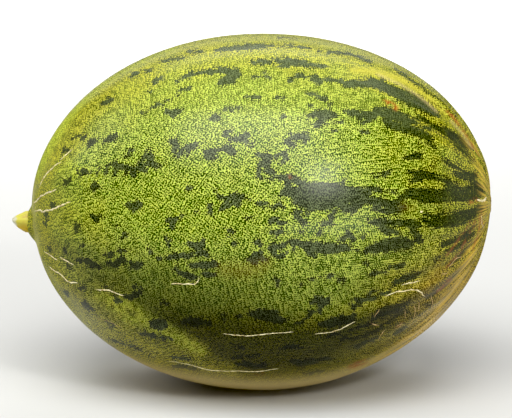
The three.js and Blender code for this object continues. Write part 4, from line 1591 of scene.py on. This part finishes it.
@dataclass
class StemStub:
    """The stub of the stem: a short ridged peduncle, torn off to a blunt tip."""

    form: FruitForm
    middle: Vector
    root: float = 0.6  # how deep it stands in its mound
    length: float = 7.5
    radii: tuple[float, ...] = (5.2, 5.1, 4.6, 4.0, 3.5, 2.9, 2.1, 1.0)
    lift: float = 0.9
    ridges: int = 5
    ridge_depth: float = 0.07
    torn: float = 0.35  # how unevenly its tip is torn
    torn_from: float = 0.8  # where the tear starts, as a share of its length
    tip_zone: Span = (0.68, 0.85)  # where its pale tip starts, and where it is full
    amber_zone: Span = (-0.2, 0.7)  # how far it turns down where amber starts, and where it is full
    sides: int = 64
    rings: int = 28
    finish: FleshyStem = field(default_factory=FleshyStem)

    def profile(self) -> tuple[Array, Array]:
        """Gives the stub's rings: how far each is from the base, and its radius."""
        at = np.linspace(-self.root, self.length, self.rings)
        stations = np.linspace(0.0, self.length, len(self.radii))
        return at, np.interp(at, stations, self.radii)

    def build(self) -> bpy.types.Object:
        """Makes the stub and returns its piece."""
        at, radii = self.profile()
        shape = bmesh.new()
        line = [shape.verts.new((0.0, 0.0, at[0]))]
        line += [shape.verts.new((radius, 0.0, place)) for place, radius in zip(at, radii)]
        line.append(shape.verts.new((0.0, 0.0, at[-1] + 0.15)))
        edges = [shape.edges.new(pair) for pair in zip(line[:-1], line[1:])]
        full = {"angle": 2 * math.pi, "steps": self.sides, "use_merge": True}
        bmesh.ops.spin(shape, geom=line + edges, cent=(0, 0, 0), axis=(0, 0, 1), **full)
        bmesh.ops.remove_doubles(shape, verts=shape.verts, dist=1e-4)
        bmesh.ops.recalc_face_normals(shape, faces=shape.faces)
        tips, ambers = [], []
        for vertex in shape.verts:
            across, side, out = vertex.co
            share = out / self.length
            angle = math.atan2(side, across)
            ridged = 1.0 + self.ridge_depth * math.cos(self.ridges * angle)
            ridged += 0.02 * math.cos(17 * angle + 3 * share)
            frayed = max(0.0, share - self.torn_from) / (1.0 - self.torn_from)
            torn = self.torn * math.sin(3 * angle + 1.0) * frayed
            turned_down = -across / max(math.hypot(across, side), 1e-6)
            tips.append(share + 0.05 * math.sin(5 * angle))
            ambers.append(turned_down + 0.2 * math.sin(7 * share))
            vertex.co = Vector(
                (
                    -self.form.mound_top - out - torn,
                    ridged * side,
                    ridged * across - self.form.stem_drop + self.lift * max(share, 0.0) ** 2,
                )
            ) * MM + self.middle
        bmesh.ops.recalc_face_normals(shape, faces=shape.faces)
        mesh = bpy.data.meshes.new("stem_stub")
        shape.to_mesh(mesh)
        shape.free()
        add_numbers(mesh, "tip", smoothstep(np.array(tips), *self.tip_zone))
        add_numbers(mesh, "amber", smoothstep(np.array(ambers), *self.amber_zone))
        piece = finished("stem", mesh, self.finish.material())
        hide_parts("stem_stub")
        return piece


@dataclass(frozen=True)
class Softbox:
    """A flat soft light that looks at the fruit."""

    name: str
    elevation_deg: float
    azimuth_deg: float  # 0 stands where the camera does, and more is further to the right
    distance: float
    width: float
    height: float
    watts: float
    aim: tuple[float, float, float] = (0.0, 0.0, 0.0)  # where it looks, from the fruit's middle
    spread_deg: float = 180.0  # less where a honeycomb grid stands before it

    def build(self, middle: Vector) -> None:
        """Makes the light.

        Args:
            middle: What it looks at, in metres.
        """
        data = bpy.data.lights.new(self.name, "AREA")
        data.shape = "RECTANGLE"
        data.size = self.width
        data.size_y = self.height
        data.energy = self.watts
        data.spread = math.radians(self.spread_deg)
        light = bpy.data.objects.new(self.name, data)
        elevation, azimuth = math.radians(self.elevation_deg), math.radians(self.azimuth_deg)
        away = Vector(
            (
                math.cos(elevation) * math.sin(azimuth),
                -math.cos(elevation) * math.cos(azimuth),
                math.sin(elevation),
            )
        )
        light.location = middle + Vector(self.aim) + away * self.distance
        light.rotation_euler = away.to_track_quat("Z", "Y").to_euler()
        bpy.context.scene.collection.objects.link(light)


@dataclass
class Studio:
    """A pale board, a white room and soft lights, in metres."""

    middle: Vector
    floor_size: float = 12.0
    room: str = "#FFFFFF"
    room_strength: float = 0.08
    lights: tuple[Softbox, ...] = (
        Softbox("overhead_softbox", 60.0, -10.0, 1.3, 1.2, 0.9, 25.0),
        Softbox("right_softbox", 31.0, 26.0, 1.4, 0.2, 0.2, 6.6),
        Softbox("low_strip", 2.0, 27.0, 1.3, 0.9, 0.04, 4.2),
        Softbox("left_panel", 32.0, -98.0, 1.4, 1.0, 0.8, 5.0),
        Softbox("right_panel", 8.0, 112.0, 1.4, 1.0, 0.6, 2.2),
        Softbox("rim_panel", 20.0, 180.0, 1.5, 1.6, 0.4, 1.5),
        Softbox("back_panel", 89.0, 180.0, 1.7, 2.4, 1.2, 60.0, (0.0, 1.9, 0.0), 100.0),
    )

    def build(self) -> None:
        """Makes the floor, the room's light and the softboxes."""
        shape = bmesh.new()
        bmesh.ops.create_grid(shape, x_segments=1, y_segments=1, size=self.floor_size / 2)
        mesh = bpy.data.meshes.new("floor")
        shape.to_mesh(mesh)
        shape.free()
        floor = finished("floor", mesh, MattStudioBoard().material())
        world = bpy.data.worlds.new("white_room")
        world.use_nodes = True
        background = world.node_tree.nodes["Background"]
        background.inputs["Color"].default_value = linear(self.room)
        background.inputs["Strength"].default_value = self.room_strength
        bpy.context.scene.world = world
        for light in self.lights:
            light.build(self.middle)


def fruit_middle(form: FruitForm) -> Vector:
    """Finds the fruit's middle in the part's frame, in metres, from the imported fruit's own box."""
    low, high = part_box("fruit")
    return Vector((low[0] + form.mound_top * MM, (low[1] + high[1]) / 2.0, form.middle_height * MM))


def main() -> None:
    """Builds every piece, the studio and the camera, in that order."""
    logging.basicConfig(level=logging.INFO, format="%(message)s")
    form, view = FruitForm(), PhotoView()
    view.develop()
    middle = fruit_middle(form)
    fruit = Fruit(form, view, SkinMarks(form, view), middle)
    stub = StemStub(form, middle)
    for piece in (fruit.build_rind(), fruit.build_cork(True), fruit.build_cork(False), stub.build()):
        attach(piece, BODY)
        log.info("%s: %d faces", piece.name, len(piece.data.polygons))
    Studio(middle).build()
    view.place_camera(middle)
    log.info("camera and studio ready")


if __name__ == "__main__":
    main()
